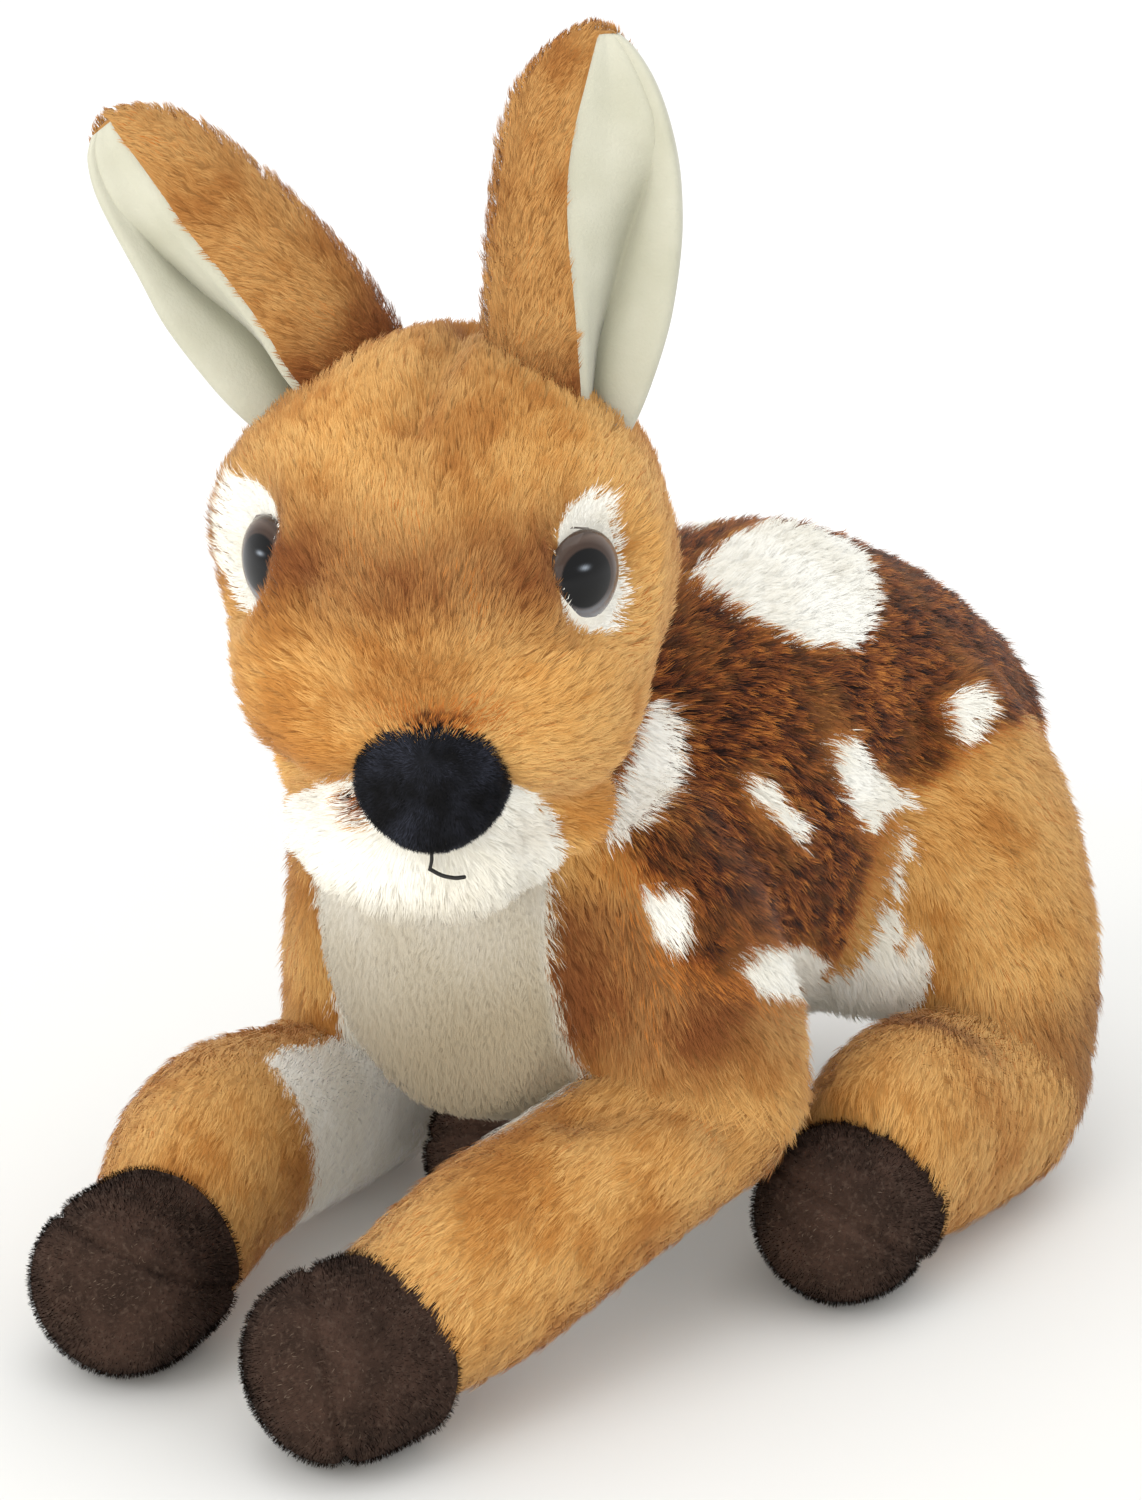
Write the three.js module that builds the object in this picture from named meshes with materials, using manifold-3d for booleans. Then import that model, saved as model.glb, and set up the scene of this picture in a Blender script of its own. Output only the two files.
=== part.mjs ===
// A lying fawn, a stuffed plush toy, in millimetres.
// It stands on the floor z = 0, faces -Y, and has its left side at +X.
import * as THREE from "three";
import Module from "manifold-3d";

const wasm = await Module();
wasm.setup();

// Driving sizes.
const bodyLength = 197; // chest to rump
const bodyWidth = 88;
const bodyHeight = 99; // the deepest section, belly to back
const backHeight = 134; // the top of the back above the floor
const chestReach = 57; // how far the chest lies in front of the origin
const headWidth = 79;
const headDepth = 91; // back of the skull to the end of the snout
const headHeight = 77;
const headTop = 201.5;
const earLength = 66;
const earWidth = 50; // across the flattened ear
const hoofWidth = 39;
const hindHoofWidth = 36;
const legWidth = 40;
const eyeWidth = 16;
const noseWidth = 28;
const tailLength = 34;
const seamGap = 0.3; // between two sewn pieces
const roomGap = 1.1; // between a leg and what it swings in
const floorFlat = 0.5; // how deep a form is flattened where it rests

// Places, as lengths from the origin on the floor under the chest.
const neckPlace = [0, -28, 112];
const elbowGround = { left: [39.7, -6], right: [-56.5, 8.5] };
const raisedElbow = 44.4; // the left elbow is propped up, the right one rests
const hoofPlaces = { left: [22.6, -93], right: [-33.5, -90] };
const hockGround = { left: [52.5, 76.5], right: [-36, 72] };
const hindHoofPlaces = { left: [57.5, 17.5], right: [-11.5, -1] };
const tailPlace = [0, 134, 88];

// Turns, in degrees.
const headTurn = 31; // the head looks to its left
const headSwing = [-20, 20];
const earLean = { left: 7, right: 41 }; // outwards, from upright
const earSwing = { left: [-10, 20], right: [-20, 10] };
const legSwing = { left: [0, 15], right: [-12, 0] }; // outwards
const hindSwing = { left: [0, 15], right: [0, 6] }; // the left one outwards, the tucked one in
const tailSwing = [0, 40];

const sides = ["left", "right"];
const signOf = { left: 1, right: -1 };

// Counts.
const bodySides = 18;
const bodySteps = 8;
const limbSides = 12;
const limbSteps = 5;
const smallSides = 12;
const threadSides = 8;
const shortSteps = 2; // of a hoof, the nose and a stitch
const tailSteps = 4;
const domeSteps = 3;
const eyeArcSteps = 4;
const bibCurveSteps = 3;

// Shares of the leg's width, and the places that follow from them.
const elbowRadiusShare = 0.5;
const hockRadiusShare = 0.54;
// The middle of a round form whose lowest facet lies the flat's depth under the floor.
const resting = (half) => half * Math.cos(Math.PI / limbSides) - floorFlat;
const elbowPlaces = {
  left: [...elbowGround.left, raisedElbow],
  right: [...elbowGround.right, resting(elbowRadiusShare * legWidth)],
};
const hockHeight = resting(hockRadiusShare * legWidth);
const hockPlaces = {
  left: [...hockGround.left, hockHeight],
  right: [...hockGround.right, hockHeight],
};

const up = new THREE.Vector3(0, 0, 1);
const ahead = new THREE.Vector3(0, -1, 0);
const radians = THREE.MathUtils.degToRad;

// A solid from rings of points, each ring the same count, closed at both ends by a pole.
function solidFromRings(rings, startPole, endPole) {
  const sides = rings[0].length;
  const points = [startPole, ...rings.flat(), endPole];
  const faces = [];
  const at = (ring, side) => 1 + ring * sides + (side % sides);
  for (let side = 0; side < sides; side++) {
    faces.push(0, at(0, side + 1), at(0, side));
    for (let ring = 0; ring + 1 < rings.length; ring++) {
      const [a, b] = [at(ring, side), at(ring, side + 1)];
      const [c, d] = [at(ring + 1, side + 1), at(ring + 1, side)];
      faces.push(a, b, c, a, c, d);
    }
    faces.push(points.length - 1, at(rings.length - 1, side), at(rings.length - 1, side + 1));
  }
  return solidFromFaces(points, faces);
}

function solidFromFaces(points, faces) {
  const made = new wasm.Manifold(
    new wasm.Mesh({
      numProp: 3,
      vertProperties: new Float32Array(points.flatMap((p) => [p.x, p.y, p.z])),
      triVerts: new Uint32Array(faces),
    }),
  );
  if (made.volume() > 0) return made;
  const turned = faces.map((_, i) => faces[i - (i % 3) + ((3 - (i % 3)) % 3)]);
  return solidFromFaces(points, turned);
}

// Smooth values between the stations' own, at a share of the way along.
function along(values, share) {
  const points = values.map((value, i) => new THREE.Vector3(i, value, 0));
  return new THREE.CatmullRomCurve3(points).getPoint(share).y;
}

// A stuffed form: an oval tube that swells and tapers along its stations, closed by a dome at
// each end. A station is [place, half across, half tall]; tall lies along the reference vector.
function stuffed(stations, options = {}) {
  const {
    sides = limbSides,
    steps = limbSteps,
    domeShares = [1, 1],
    reference = up,
    pinchShare = 0,
    grow = 0,
  } = options;
  const spine = new THREE.CatmullRomCurve3(stations.map(([place]) => place));
  const halves = [1, 2].map((i) => stations.map((station) => station[i]));
  const ringAt = (centre, tangent, across, tall) => {
    const side = new THREE.Vector3().crossVectors(tangent, reference).normalize();
    const top = new THREE.Vector3().crossVectors(side, tangent);
    return Array.from({ length: sides }, (_, i) => {
      const angle = (2 * Math.PI * i) / sides;
      const drawn = 1 - pinchShare * Math.max(0, -Math.sin(angle));
      return centre
        .clone()
        .addScaledVector(side, Math.cos(angle) * across * drawn)
        .addScaledVector(top, Math.sin(angle) * tall);
    });
  };
  const rings = [];
  const dome = (end) => {
    const centre = spine.getPoint(end);
    const tangent = spine.getTangent(end);
    const outwards = tangent.clone().multiplyScalar(end ? 1 : -1);
    const [across, tall] = halves.map((values) => along(values, end) + grow);
    const reach = domeShares[end] * Math.min(across - grow, tall - grow) + grow;
    const made = [];
    for (let step = 1; step < domeSteps; step++) {
      const angle = (Math.PI / 2) * (step / domeSteps);
      const middle = centre.clone().addScaledVector(outwards, reach * Math.sin(angle));
      made.push(ringAt(middle, tangent, across * Math.cos(angle), tall * Math.cos(angle)));
    }
    return { made, pole: centre.clone().addScaledVector(outwards, reach) };
  };
  const [start, end] = [dome(0), dome(1)];
  rings.push(...start.made.reverse());
  for (let step = 0; step <= steps; step++) {
    const share = step / steps;
    const [across, tall] = halves.map((values) => along(values, share) + grow);
    rings.push(ringAt(spine.getPoint(share), spine.getTangent(share), across, tall));
  }
  rings.push(...end.made);
  return solidFromRings(rings, start.pole, end.pole);
}

// A three.js geometry as a solid, its corners welded where they meet.
const weldLength = 0.001;
function solidOf(geometry) {
  const flat = geometry.index ? geometry.toNonIndexed() : geometry;
  const position = flat.getAttribute("position");
  const seen = new Map();
  const points = [];
  const faces = [];
  for (let i = 0; i < position.count; i++) {
    const point = new THREE.Vector3().fromBufferAttribute(position, i);
    const key = point.toArray().map((v) => Math.round(v / weldLength)).join();
    if (!seen.has(key)) seen.set(key, points.push(point) - 1);
    faces.push(seen.get(key));
  }
  const whole = [];
  for (let i = 0; i < faces.length; i += 3) {
    const corner = faces.slice(i, i + 3);
    if (new Set(corner).size === 3) whole.push(...corner);
  }
  return solidFromFaces(points, whole);
}

// A lathed solid about the local Z axis, from a closed profile of [radius, height] pairs.
function turned(profile, sides = smallSides) {
  const points = profile.map(([radius, height]) => new THREE.Vector2(radius, height));
  return solidOf(new THREE.LatheGeometry(points, sides).rotateX(Math.PI / 2));
}

function moved(solid, matrix) {
  return solid.transform(matrix.elements);
}

function turnAbout(place, axis, degrees) {
  const centre = new THREE.Vector3(...place);
  return new THREE.Matrix4()
    .makeTranslation(centre)
    .multiply(new THREE.Matrix4().makeRotationAxis(axis, radians(degrees)))
    .multiply(new THREE.Matrix4().makeTranslation(centre.clone().negate()));
}

// The room, one convex block, that a solid passes through as its joint goes over its range.
function roomOf(solid, place, axis, range) {
  const middle = (range[0] + range[1]) / 2;
  const turns = [range[0], middle, range[1]];
  return wasm.Manifold.hull(turns.map((degrees) => moved(solid, turnAbout(place, axis, degrees))));
}

// A block that covers everything on the far side of a plane, whose normal points into it.
function halfSpace(place, normal) {
  const size = 4 * (bodyLength + backHeight);
  const block = new THREE.BoxGeometry(size, size, size).translate(0, 0, size / 2);
  const turn = new THREE.Quaternion().setFromUnitVectors(up, normal.clone().normalize());
  block.applyQuaternion(turn).translate(...place);
  return solidOf(block);
}

const belowFloor = halfSpace([0, 0, 0], up.clone().negate());
const onFloor = (solid) => solid.subtract(belowFloor);

// Torso: stations from chest to rump, as shares of its length, height and width.
const torsoShares = [
  // along, middle height, half width, half height
  [0.1, 0.6, 0.36, 0.33],
  [0.18, 0.605, 0.43, 0.4],
  [0.29, 0.63, 0.475, 0.46],
  [0.44, 0.65, 0.5, 0.495],
  [0.6, 0.632, 0.5, 0.5],
  [0.76, 0.595, 0.485, 0.485],
  [0.89, 0.54, 0.42, 0.41],
];
const torsoDomeShares = [0.42, 0.62];
function torso(grow = 0) {
  const stations = torsoShares.map(([share, middle, half, tall]) => [
    new THREE.Vector3(0, share * bodyLength - chestReach, middle * backHeight),
    half * bodyWidth,
    tall * bodyHeight,
  ]);
  return stuffed(stations, {
    sides: bodySides,
    steps: bodySteps,
    domeShares: torsoDomeShares,
    grow,
  });
}

// Neck: a turned stump on the head's axis, so that the head can swing on it.
const neckRadius = 26;
const neckRise = 40;
const neckSides = 28;
const neckProfileShares = [
  [0, -0.4],
  [0.76, -0.4],
  [0.98, 0],
  [1, 0.4],
  [0.93, 0.66],
  [0.76, 0.86],
  [0.42, 0.97],
  [0, 1],
];
function neck(grow = 0) {
  const profile = neckProfileShares.map(([out, rise]) => [
    out ? out * neckRadius + grow : 0,
    rise * neckRise + (rise > 0 ? grow : 0),
  ]);
  const place = new THREE.Matrix4().makeTranslation(...neckPlace);
  return moved(turned(profile, neckSides), place);
}

// The head's own frame: origin on the neck's axis, at floor height, facing -Y.
const headFrame = new THREE.Matrix4()
  .makeTranslation(neckPlace[0], neckPlace[1], 0)
  .multiply(new THREE.Matrix4().makeRotationZ(radians(headTurn)));

const headShares = [
  // ahead of the neck, middle below the top, half width, half height
  [-0.09, 0.46, 0.42, 0.4],
  [0.06, 0.475, 0.485, 0.475],
  [0.2, 0.5, 0.5, 0.5],
  [0.33, 0.565, 0.475, 0.475],
  [0.46, 0.67, 0.43, 0.43],
  [0.57, 0.815, 0.36, 0.3],
  [0.64, 0.91, 0.27, 0.19],
];
const headDomeShares = [0.5, 0.3];
function headForm(grow = 0) {
  const stations = headShares.map(([share, drop, half, tall]) => [
    new THREE.Vector3(0, -share * headDepth, headTop - drop * headHeight),
    half * headWidth,
    tall * headHeight,
  ]);
  const form = stuffed(stations, {
    sides: bodySides,
    steps: bodySteps,
    domeShares: headDomeShares,
    grow,
  });
  return moved(form, headFrame);
}

// Muzzle: the white gusset under the snout.
const muzzleShares = [
  [0.42, 1.06, 0.3, 0.17],
  [0.5, 1.1, 0.31, 0.185],
  [0.58, 1.11, 0.27, 0.17],
];
const muzzleDomeShares = [0.7, 0.8];
function muzzleForm(grow = 0) {
  const stations = muzzleShares.map(([share, drop, half, tall]) => [
    new THREE.Vector3(0, -share * headDepth, headTop - drop * headHeight),
    half * headWidth,
    tall * headHeight,
  ]);
  return moved(stuffed(stations, { domeShares: muzzleDomeShares, grow }), headFrame);
}

// Nose: a padded velour drop on the end of the snout.
const nosePlaceShares = [0.665, 0.875]; // of the head's depth and height
const noseSideShare = 0.045; // the snout bends a little to the left
const noseTilt = 22; // up from straight ahead, in degrees
const noseDepthShare = 0.25;
const noseTallShare = 0.4;
const nosePinchShare = 0.42; // the drop narrows towards its foot
const noseDomeShares = [0.5, 0.5];
function noseForm(grow = 0) {
  const [aheadShare, dropShare] = nosePlaceShares;
  const height = headTop - dropShare * headHeight;
  const depth = noseDepthShare * noseWidth;
  const facing = new THREE.Vector3(0, -Math.cos(radians(noseTilt)), Math.sin(radians(noseTilt)));
  const seat = new THREE.Vector3(noseSideShare * headWidth, -aheadShare * headDepth, height);
  const stations = [0, 1].map((step) => [
    seat.clone().addScaledVector(facing, step * depth),
    noseWidth / 2,
    noseTallShare * noseWidth,
  ]);
  const form = stuffed(stations, {
    steps: shortSteps,
    domeShares: noseDomeShares,
    pinchShare: nosePinchShare,
    grow,
  });
  return moved(form, headFrame);
}

// Mouth: two stitches of thread under the nose, an upright one and a bar.
const threadRadius = 0.8;
const stitchDropShares = { upright: [1.05, 1.1], bar: [1.13, 1.13] }; // of the head's height
const barHalfShare = 0.12; // of the nose's width
function stitchForm(name) {
  const height = (share) => headTop - share * headHeight;
  const side = noseSideShare * headWidth;
  const [startDrop, endDrop] = stitchDropShares[name];
  const [aheadShare, , , tallShare] = muzzleShares.at(-1);
  const reach = aheadShare * headDepth + muzzleDomeShares[1] * tallShare * headHeight;
  const half = name === "bar" ? barHalfShare * noseWidth : 0;
  const stations = [
    [new THREE.Vector3(side - half, -reach, height(startDrop)), threadRadius, threadRadius],
    [new THREE.Vector3(side + half, -reach, height(endDrop)), threadRadius, threadRadius],
  ];
  const reference = name === "bar" ? up : ahead;
  const form = stuffed(stations, { sides: threadSides, steps: shortSteps, reference });
  return moved(form, headFrame);
}

// Eyes: a clear dome over a printed disc on a stem, held inside the head by a washer.
const eyePlaceShares = {
  left: { across: 0.31, ahead: 0.475, drop: 0.455 },
  right: { across: 0.375, ahead: 0.415, drop: 0.475 },
};
const eyeTurn = 52; // outwards from the face, in degrees
const eyeProudShare = 0.1; // of the eye's width, out of the face
const domeRiseShare = 0.3;
const rimShare = 0.08;
const stemRadiusShare = 0.14;
const stemLengthShare = 0.8;
const washerShares = { out: 0.5, thick: 0.08, place: 0.5 };
function eyeFrame(side) {
  const sideSign = signOf[side];
  const { across, ahead: aheadShare, drop } = eyePlaceShares[side];
  return headFrame
    .clone()
    .multiply(
      new THREE.Matrix4().makeTranslation(
        sideSign * across * headWidth,
        -aheadShare * headDepth,
        headTop - drop * headHeight,
      ),
    )
    .multiply(new THREE.Matrix4().makeRotationZ(radians(sideSign * eyeTurn)))
    .multiply(new THREE.Matrix4().makeRotationX(radians(90)))
    .multiply(new THREE.Matrix4().makeTranslation(0, 0, eyeProudShare * eyeWidth));
}
function eyeDomeProfile(grow) {
  const radius = eyeWidth / 2 + grow;
  const rim = rimShare * eyeWidth;
  const rise = domeRiseShare * eyeWidth;
  if (grow) return [[0, -grow], [radius, -grow], [radius, 2 * rise], [0, 2 * rise]];
  const arc = Array.from({ length: eyeArcSteps }, (_, step) => {
    const angle = (Math.PI / 2) * (step / eyeArcSteps);
    return [radius * Math.cos(angle), rim + (rise - rim) * Math.sin(angle)];
  });
  return [[0, -grow], [radius, -grow], ...arc, [0, rise]];
}
function eyeBackProfile(grow) {
  const radius = eyeWidth / 2 + grow;
  const disc = rimShare * eyeWidth;
  const stem = stemRadiusShare * eyeWidth + grow;
  const end = -disc - stemLengthShare * eyeWidth - grow;
  const top = grow ? 0 : -seamGap;
  return [[0, end], [stem, end], [stem, -disc - seamGap - grow], [radius, -disc - seamGap - grow],
    [radius, top], [0, top]];
}
function washerProfile(grow) {
  const { out, thick, place } = washerShares;
  const inner = grow ? 0 : stemRadiusShare * eyeWidth + seamGap;
  const outer = out * eyeWidth + grow;
  const low = -place * eyeWidth - grow;
  const high = low + thick * eyeWidth + 2 * grow;
  return [[inner, low], [outer, low], [outer, high], [inner, high], [inner, low]];
}

// Ears: a cupped leaf of fur with a fleece lining, on a ball sewn into the head.
const earBallRadius = 9;
const earShellShare = 0.075; // of the ear's width
const earLiningShare = 0.045;
const earRows = 9;
const earColumns = 8;
const earPlaceShares = {
  left: { across: 0.235, ahead: 0.15, drop: 0.15 },
  right: { across: 0.335, ahead: 0.08, drop: 0.2 },
};
const earSetBackShare = 0.13; // the cup is centred on its ball
const earOpening = { left: 64, right: 50 }; // from straight ahead, outwards, in degrees
const earWidthShares = [0.4, 0.66, 0.86, 0.97, 1, 0.95, 0.82, 0.56, 0.16];
const earCurlDegrees = [125, 105, 88, 76, 66, 58, 52, 48, 44];
const earBaseShare = 0.025;
const earTrimShare = 0.06; // the lining is narrower than the shell
// A curled leaf between two depths behind its inner face, standing on the local origin.
function earLeaf(near, far, trimShare) {
  const grid = (depth) =>
    Array.from({ length: earRows + 1 }, (_, row) => {
      const share = row / earRows;
      const half = (along(earWidthShares, share) * earWidth * (1 - trimShare)) / 2;
      const curl = radians(along(earCurlDegrees, share));
      const radius = half / curl;
      const rise = (earBaseShare + (1 - earBaseShare - trimShare / 2) * share) * earLength;
      return Array.from({ length: earColumns + 1 }, (_, column) => {
        const angle = curl * ((2 * column) / earColumns - 1);
        const out = radius + depth;
        const back = out * Math.cos(angle) - radius + earSetBackShare * earWidth;
        return new THREE.Vector3(out * Math.sin(angle), back, rise);
      });
    });
  const [inner, outer] = [grid(near), grid(far)];
  const columns = earColumns + 1;
  const points = [...inner.flat(), ...outer.flat()];
  const count = inner.flat().length;
  const faces = [];
  const quad = (a, b, c, d) => faces.push(a, b, c, a, c, d);
  for (let row = 0; row < earRows; row++) {
    for (let column = 0; column < earColumns; column++) {
      const a = row * columns + column;
      quad(a, a + 1, a + columns + 1, a + columns);
      quad(count + a, count + a + columns, count + a + columns + 1, count + a + 1);
    }
    const [left, right] = [row * columns, row * columns + earColumns];
    quad(left, left + columns, count + left + columns, count + left);
    quad(right, count + right, count + right + columns, right + columns);
  }
  for (let column = 0; column < earColumns; column++) {
    const top = earRows * columns + column;
    quad(column, count + column, count + column + 1, column + 1);
    quad(top, top + 1, count + top + 1, count + top);
  }
  return solidFromFaces(points, faces);
}
function earFrame(side) {
  const sideSign = signOf[side];
  const { across, ahead: aheadShare, drop } = earPlaceShares[side];
  return headFrame
    .clone()
    .multiply(
      new THREE.Matrix4().makeTranslation(
        sideSign * across * headWidth,
        -aheadShare * headDepth,
        headTop - drop * headHeight,
      ),
    )
    .multiply(new THREE.Matrix4().makeRotationY(radians(sideSign * earLean[side])))
    .multiply(new THREE.Matrix4().makeRotationZ(radians(sideSign * earOpening[side])));
}
// The seam at an ear's foot, about which the ear folds out.
function earAxis(side) {
  const across = new THREE.Vector3();
  earFrame(side).extractBasis(across, new THREE.Vector3(), new THREE.Vector3());
  return across;
}
const earRoomShare = 0.03;
const earSlack = 2;
function ball(radius, place) {
  const sphere = new THREE.SphereGeometry(radius, smallSides, smallSides / 2);
  return solidOf(sphere.rotateX(Math.PI / 2).translate(...place));
}

// Legs: each is a line of stations between named places.
const vector = (place, height) => new THREE.Vector3(place[0], place[1], height ?? place[2]);
const between = (start, end, share, lift = 0) =>
  start.clone().lerp(end, share).addScaledVector(up, lift);

const kneeSwellShare = 0.54;
const wristShare = 0.5;
const wristReachShare = 0.84; // of the way from elbow to hoof
const ankleShare = 0.46;
const kneeLiftShares = { left: 0, right: 0.08 };
const kneePlaceShares = [0.28, 0.62]; // of the way from elbow to hoof
const legDomeShares = [1, 0.3];
function forelegForm(side, grow = 0, detail = {}) {
  const elbow = vector(elbowPlaces[side]);
  const hoof = vector(hoofPlaces[side], resting(hoofWidth / 2));
  const lift = kneeLiftShares[side] * legWidth;
  const radius = elbowRadiusShare * legWidth;
  const swell = kneeSwellShare * legWidth;
  const narrow = wristShare * legWidth;
  const ankle = ankleShare * legWidth;
  const [aboveKnee, belowKnee] = kneePlaceShares;
  const stations = [
    [elbow, radius, radius],
    [between(elbow, hoof, aboveKnee, lift / 2), narrow, narrow],
    [between(elbow, hoof, belowKnee, lift), narrow, swell],
    [between(elbow, hoof, wristReachShare), ankle, ankle],
  ];
  return onFloor(stuffed(stations, { domeShares: legDomeShares, grow, ...detail }));
}

const shoulderShares = [
  // share of the way down to the elbow, half across, half fore and aft, in leg widths
  [0, 0.28, 0.44],
  [0.34, 0.38, 0.54],
  [0.7, 0.47, 0.6],
  [1, 0.5, 0.56],
];
const shoulderDomeShares = [0.7, 0.6];
const shoulderTop = [29, -12, 103];
const shoulderBow = 3; // the upper arm bulges out and back this far
function shoulderForm(side, grow = 0) {
  const sideSign = signOf[side];
  const top = new THREE.Vector3(sideSign * shoulderTop[0], shoulderTop[1], shoulderTop[2]);
  const elbow = vector(elbowPlaces[side]);
  const stations = shoulderShares.map(([share, across, tall]) => {
    const place = between(top, elbow, share);
    place.x += sideSign * shoulderBow * Math.sin(Math.PI * share);
    place.y += shoulderBow * share;
    return [place, across * legWidth, tall * legWidth];
  });
  return stuffed(stations, { domeShares: shoulderDomeShares, reference: ahead, grow });
}

// Hooves: a felt cup over the end of each leg.
const hoofBackShare = 0.36;
const hoofFrontShare = 0.12;
const rimWidthShare = 0.95;
const hoofDomeShares = [0.12, 0.66];
function hoofForm(place, heading, width, grow = 0) {
  const centre = vector(place, resting(width / 2));
  const rim = centre.clone().addScaledVector(heading, -hoofBackShare * width);
  const front = centre.clone().addScaledVector(heading, hoofFrontShare * width);
  const half = width / 2;
  const rimHalf = rimWidthShare * half;
  const stations = [
    [rim, rimHalf, rimHalf],
    [centre, half, half],
    [front, rimHalf, rimHalf],
  ];
  return stuffed(stations, { steps: shortSteps, domeShares: hoofDomeShares, grow });
}

const thighTop = [32, 80, 100];
const thighDomeShares = [0.6, 0.7];
const thighShares = [
  [0, 0.38, 0.54],
  [0.3, 0.44, 0.6],
  [0.64, 0.5, 0.6],
  [1, 0.5, 0.52],
];
const thighBow = { out: 2, back: 8 };
function thighForm(side, grow = 0) {
  const sideSign = signOf[side];
  const top = new THREE.Vector3(sideSign * thighTop[0], thighTop[1], thighTop[2]);
  const hock = vector(hockPlaces[side]);
  const stations = thighShares.map(([share, across, tall]) => {
    const place = between(top, hock, share);
    place.x += sideSign * thighBow.out * Math.sin(Math.PI * share);
    place.y += thighBow.back * Math.sin(Math.PI * share);
    return [place, across * legWidth, tall * legWidth];
  });
  return stuffed(stations, { domeShares: thighDomeShares, reference: ahead, grow });
}

const shankShares = [
  [0.3, 0.5, 0.51],
  [0.6, 0.48, 0.49],
  [0.84, 0.45, 0.44],
];
function shankForm(side, grow = 0, detail = {}) {
  const hock = vector(hockPlaces[side]);
  const hoof = vector(hindHoofPlaces[side], resting(hindHoofWidth / 2));
  const radius = hockRadiusShare * legWidth;
  const stations = [[hock, radius, radius]].concat(
    shankShares.map(([share, across, tall]) => [
      between(hock, hoof, share),
      across * legWidth,
      tall * legWidth,
    ]),
  );
  return onFloor(stuffed(stations, { domeShares: legDomeShares, grow, ...detail }));
}

// Tail: a short flat form hung from a ball at the rump.
const tailRadiusShare = 0.24;
const tailDomeShares = [1, 0.8];
const tailShares = [
  [0, 0, 1, 1],
  [0.4, 0.34, 1.15, 0.8],
  [0.62, 0.8, 0.9, 0.6],
];
function tailForm(grow = 0) {
  const radius = tailRadiusShare * tailLength;
  const stations = tailShares.map(([back, down, across, tall]) => [
    vector(tailPlace).add(new THREE.Vector3(0, back * tailLength, -down * tailLength)),
    across * radius,
    tall * radius,
  ]);
  return stuffed(stations, { steps: tailSteps, domeShares: tailDomeShares, grow });
}

// Bib: the white chest panel, a skin let into the front of the torso.
const bibThickness = 3;
const bibWidthShares = { top: 0.3, middle: 0.36, bottom: 0.18 };
const bibLow = 34;
const bibHigh = 108;
const bibBack = -18;
function bibBlock(grow) {
  const { top, middle, bottom } = bibWidthShares;
  const half = (share) => share * bodyWidth + grow;
  const [low, high] = [bibLow - grow, bibHigh + grow];
  const centre = (low + high) / 2;
  const outline = new THREE.Shape();
  outline.moveTo(-half(bottom), low);
  outline.lineTo(half(bottom), low);
  outline.quadraticCurveTo(half(middle), low, half(middle), centre);
  outline.lineTo(half(top), high);
  outline.lineTo(-half(top), high);
  outline.lineTo(-half(middle), centre);
  outline.quadraticCurveTo(-half(middle), low, -half(bottom), low);
  const depth = bibBack + grow + 2 * chestReach;
  const shape = { depth, bevelEnabled: false, curveSegments: bibCurveSteps };
  const block = new THREE.ExtrudeGeometry(outline, shape);
  return solidOf(block.rotateX(Math.PI / 2).translate(0, bibBack + grow, 0));
}

// Where a hoof's seam runs, as a roll about the leg from upright, in degrees.
const seamRoll = { front: { left: 15, right: 80 }, hind: { left: 40, right: 0 } };

// Materials, by what the piece is made of.
const look = {
  fur: { color: 0xc88a4a, roughness: 0.95 },
  saddle: { color: 0x7a4220, roughness: 0.95 },
  white: { color: 0xe8e4d8, roughness: 0.95 },
  fleece: { color: 0xd9dacb, roughness: 0.95 },
  felt: { color: 0x3e3029, roughness: 0.9 },
  velour: { color: 0x15151a, roughness: 0.85 },
  clear: { color: 0x6a5f5a, roughness: 0.05 },
  eyeBack: { color: 0x3a302c, roughness: 0.3 },
  washer: { color: 0xd8d8d4, roughness: 0.4 },
  thread: { color: 0x18161a, roughness: 0.7 },
};
const eyeLooks = { dome: "clear", back: "eyeBack", washer: "washer" };
const group = new THREE.Group();
group.name = "lying_fawn";
function add(name, solid, kind) {
  const made = solid.getMesh();
  const count = made.numProp;
  const places = new Float32Array(made.numVert * 3);
  for (let i = 0; i < made.numVert; i++) {
    places.set(made.vertProperties.subarray(i * count, i * count + 3), i * 3);
  }
  const geometry = new THREE.BufferGeometry();
  geometry.setAttribute("position", new THREE.BufferAttribute(places, 3));
  geometry.setIndex(new THREE.BufferAttribute(made.triVerts, 1));
  geometry.computeVertexNormals();
  const material = new THREE.MeshStandardMaterial({ ...look[kind], metalness: 0 });
  const mesh = new THREE.Mesh(geometry, material);
  mesh.name = name;
  group.add(mesh);
}

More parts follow.
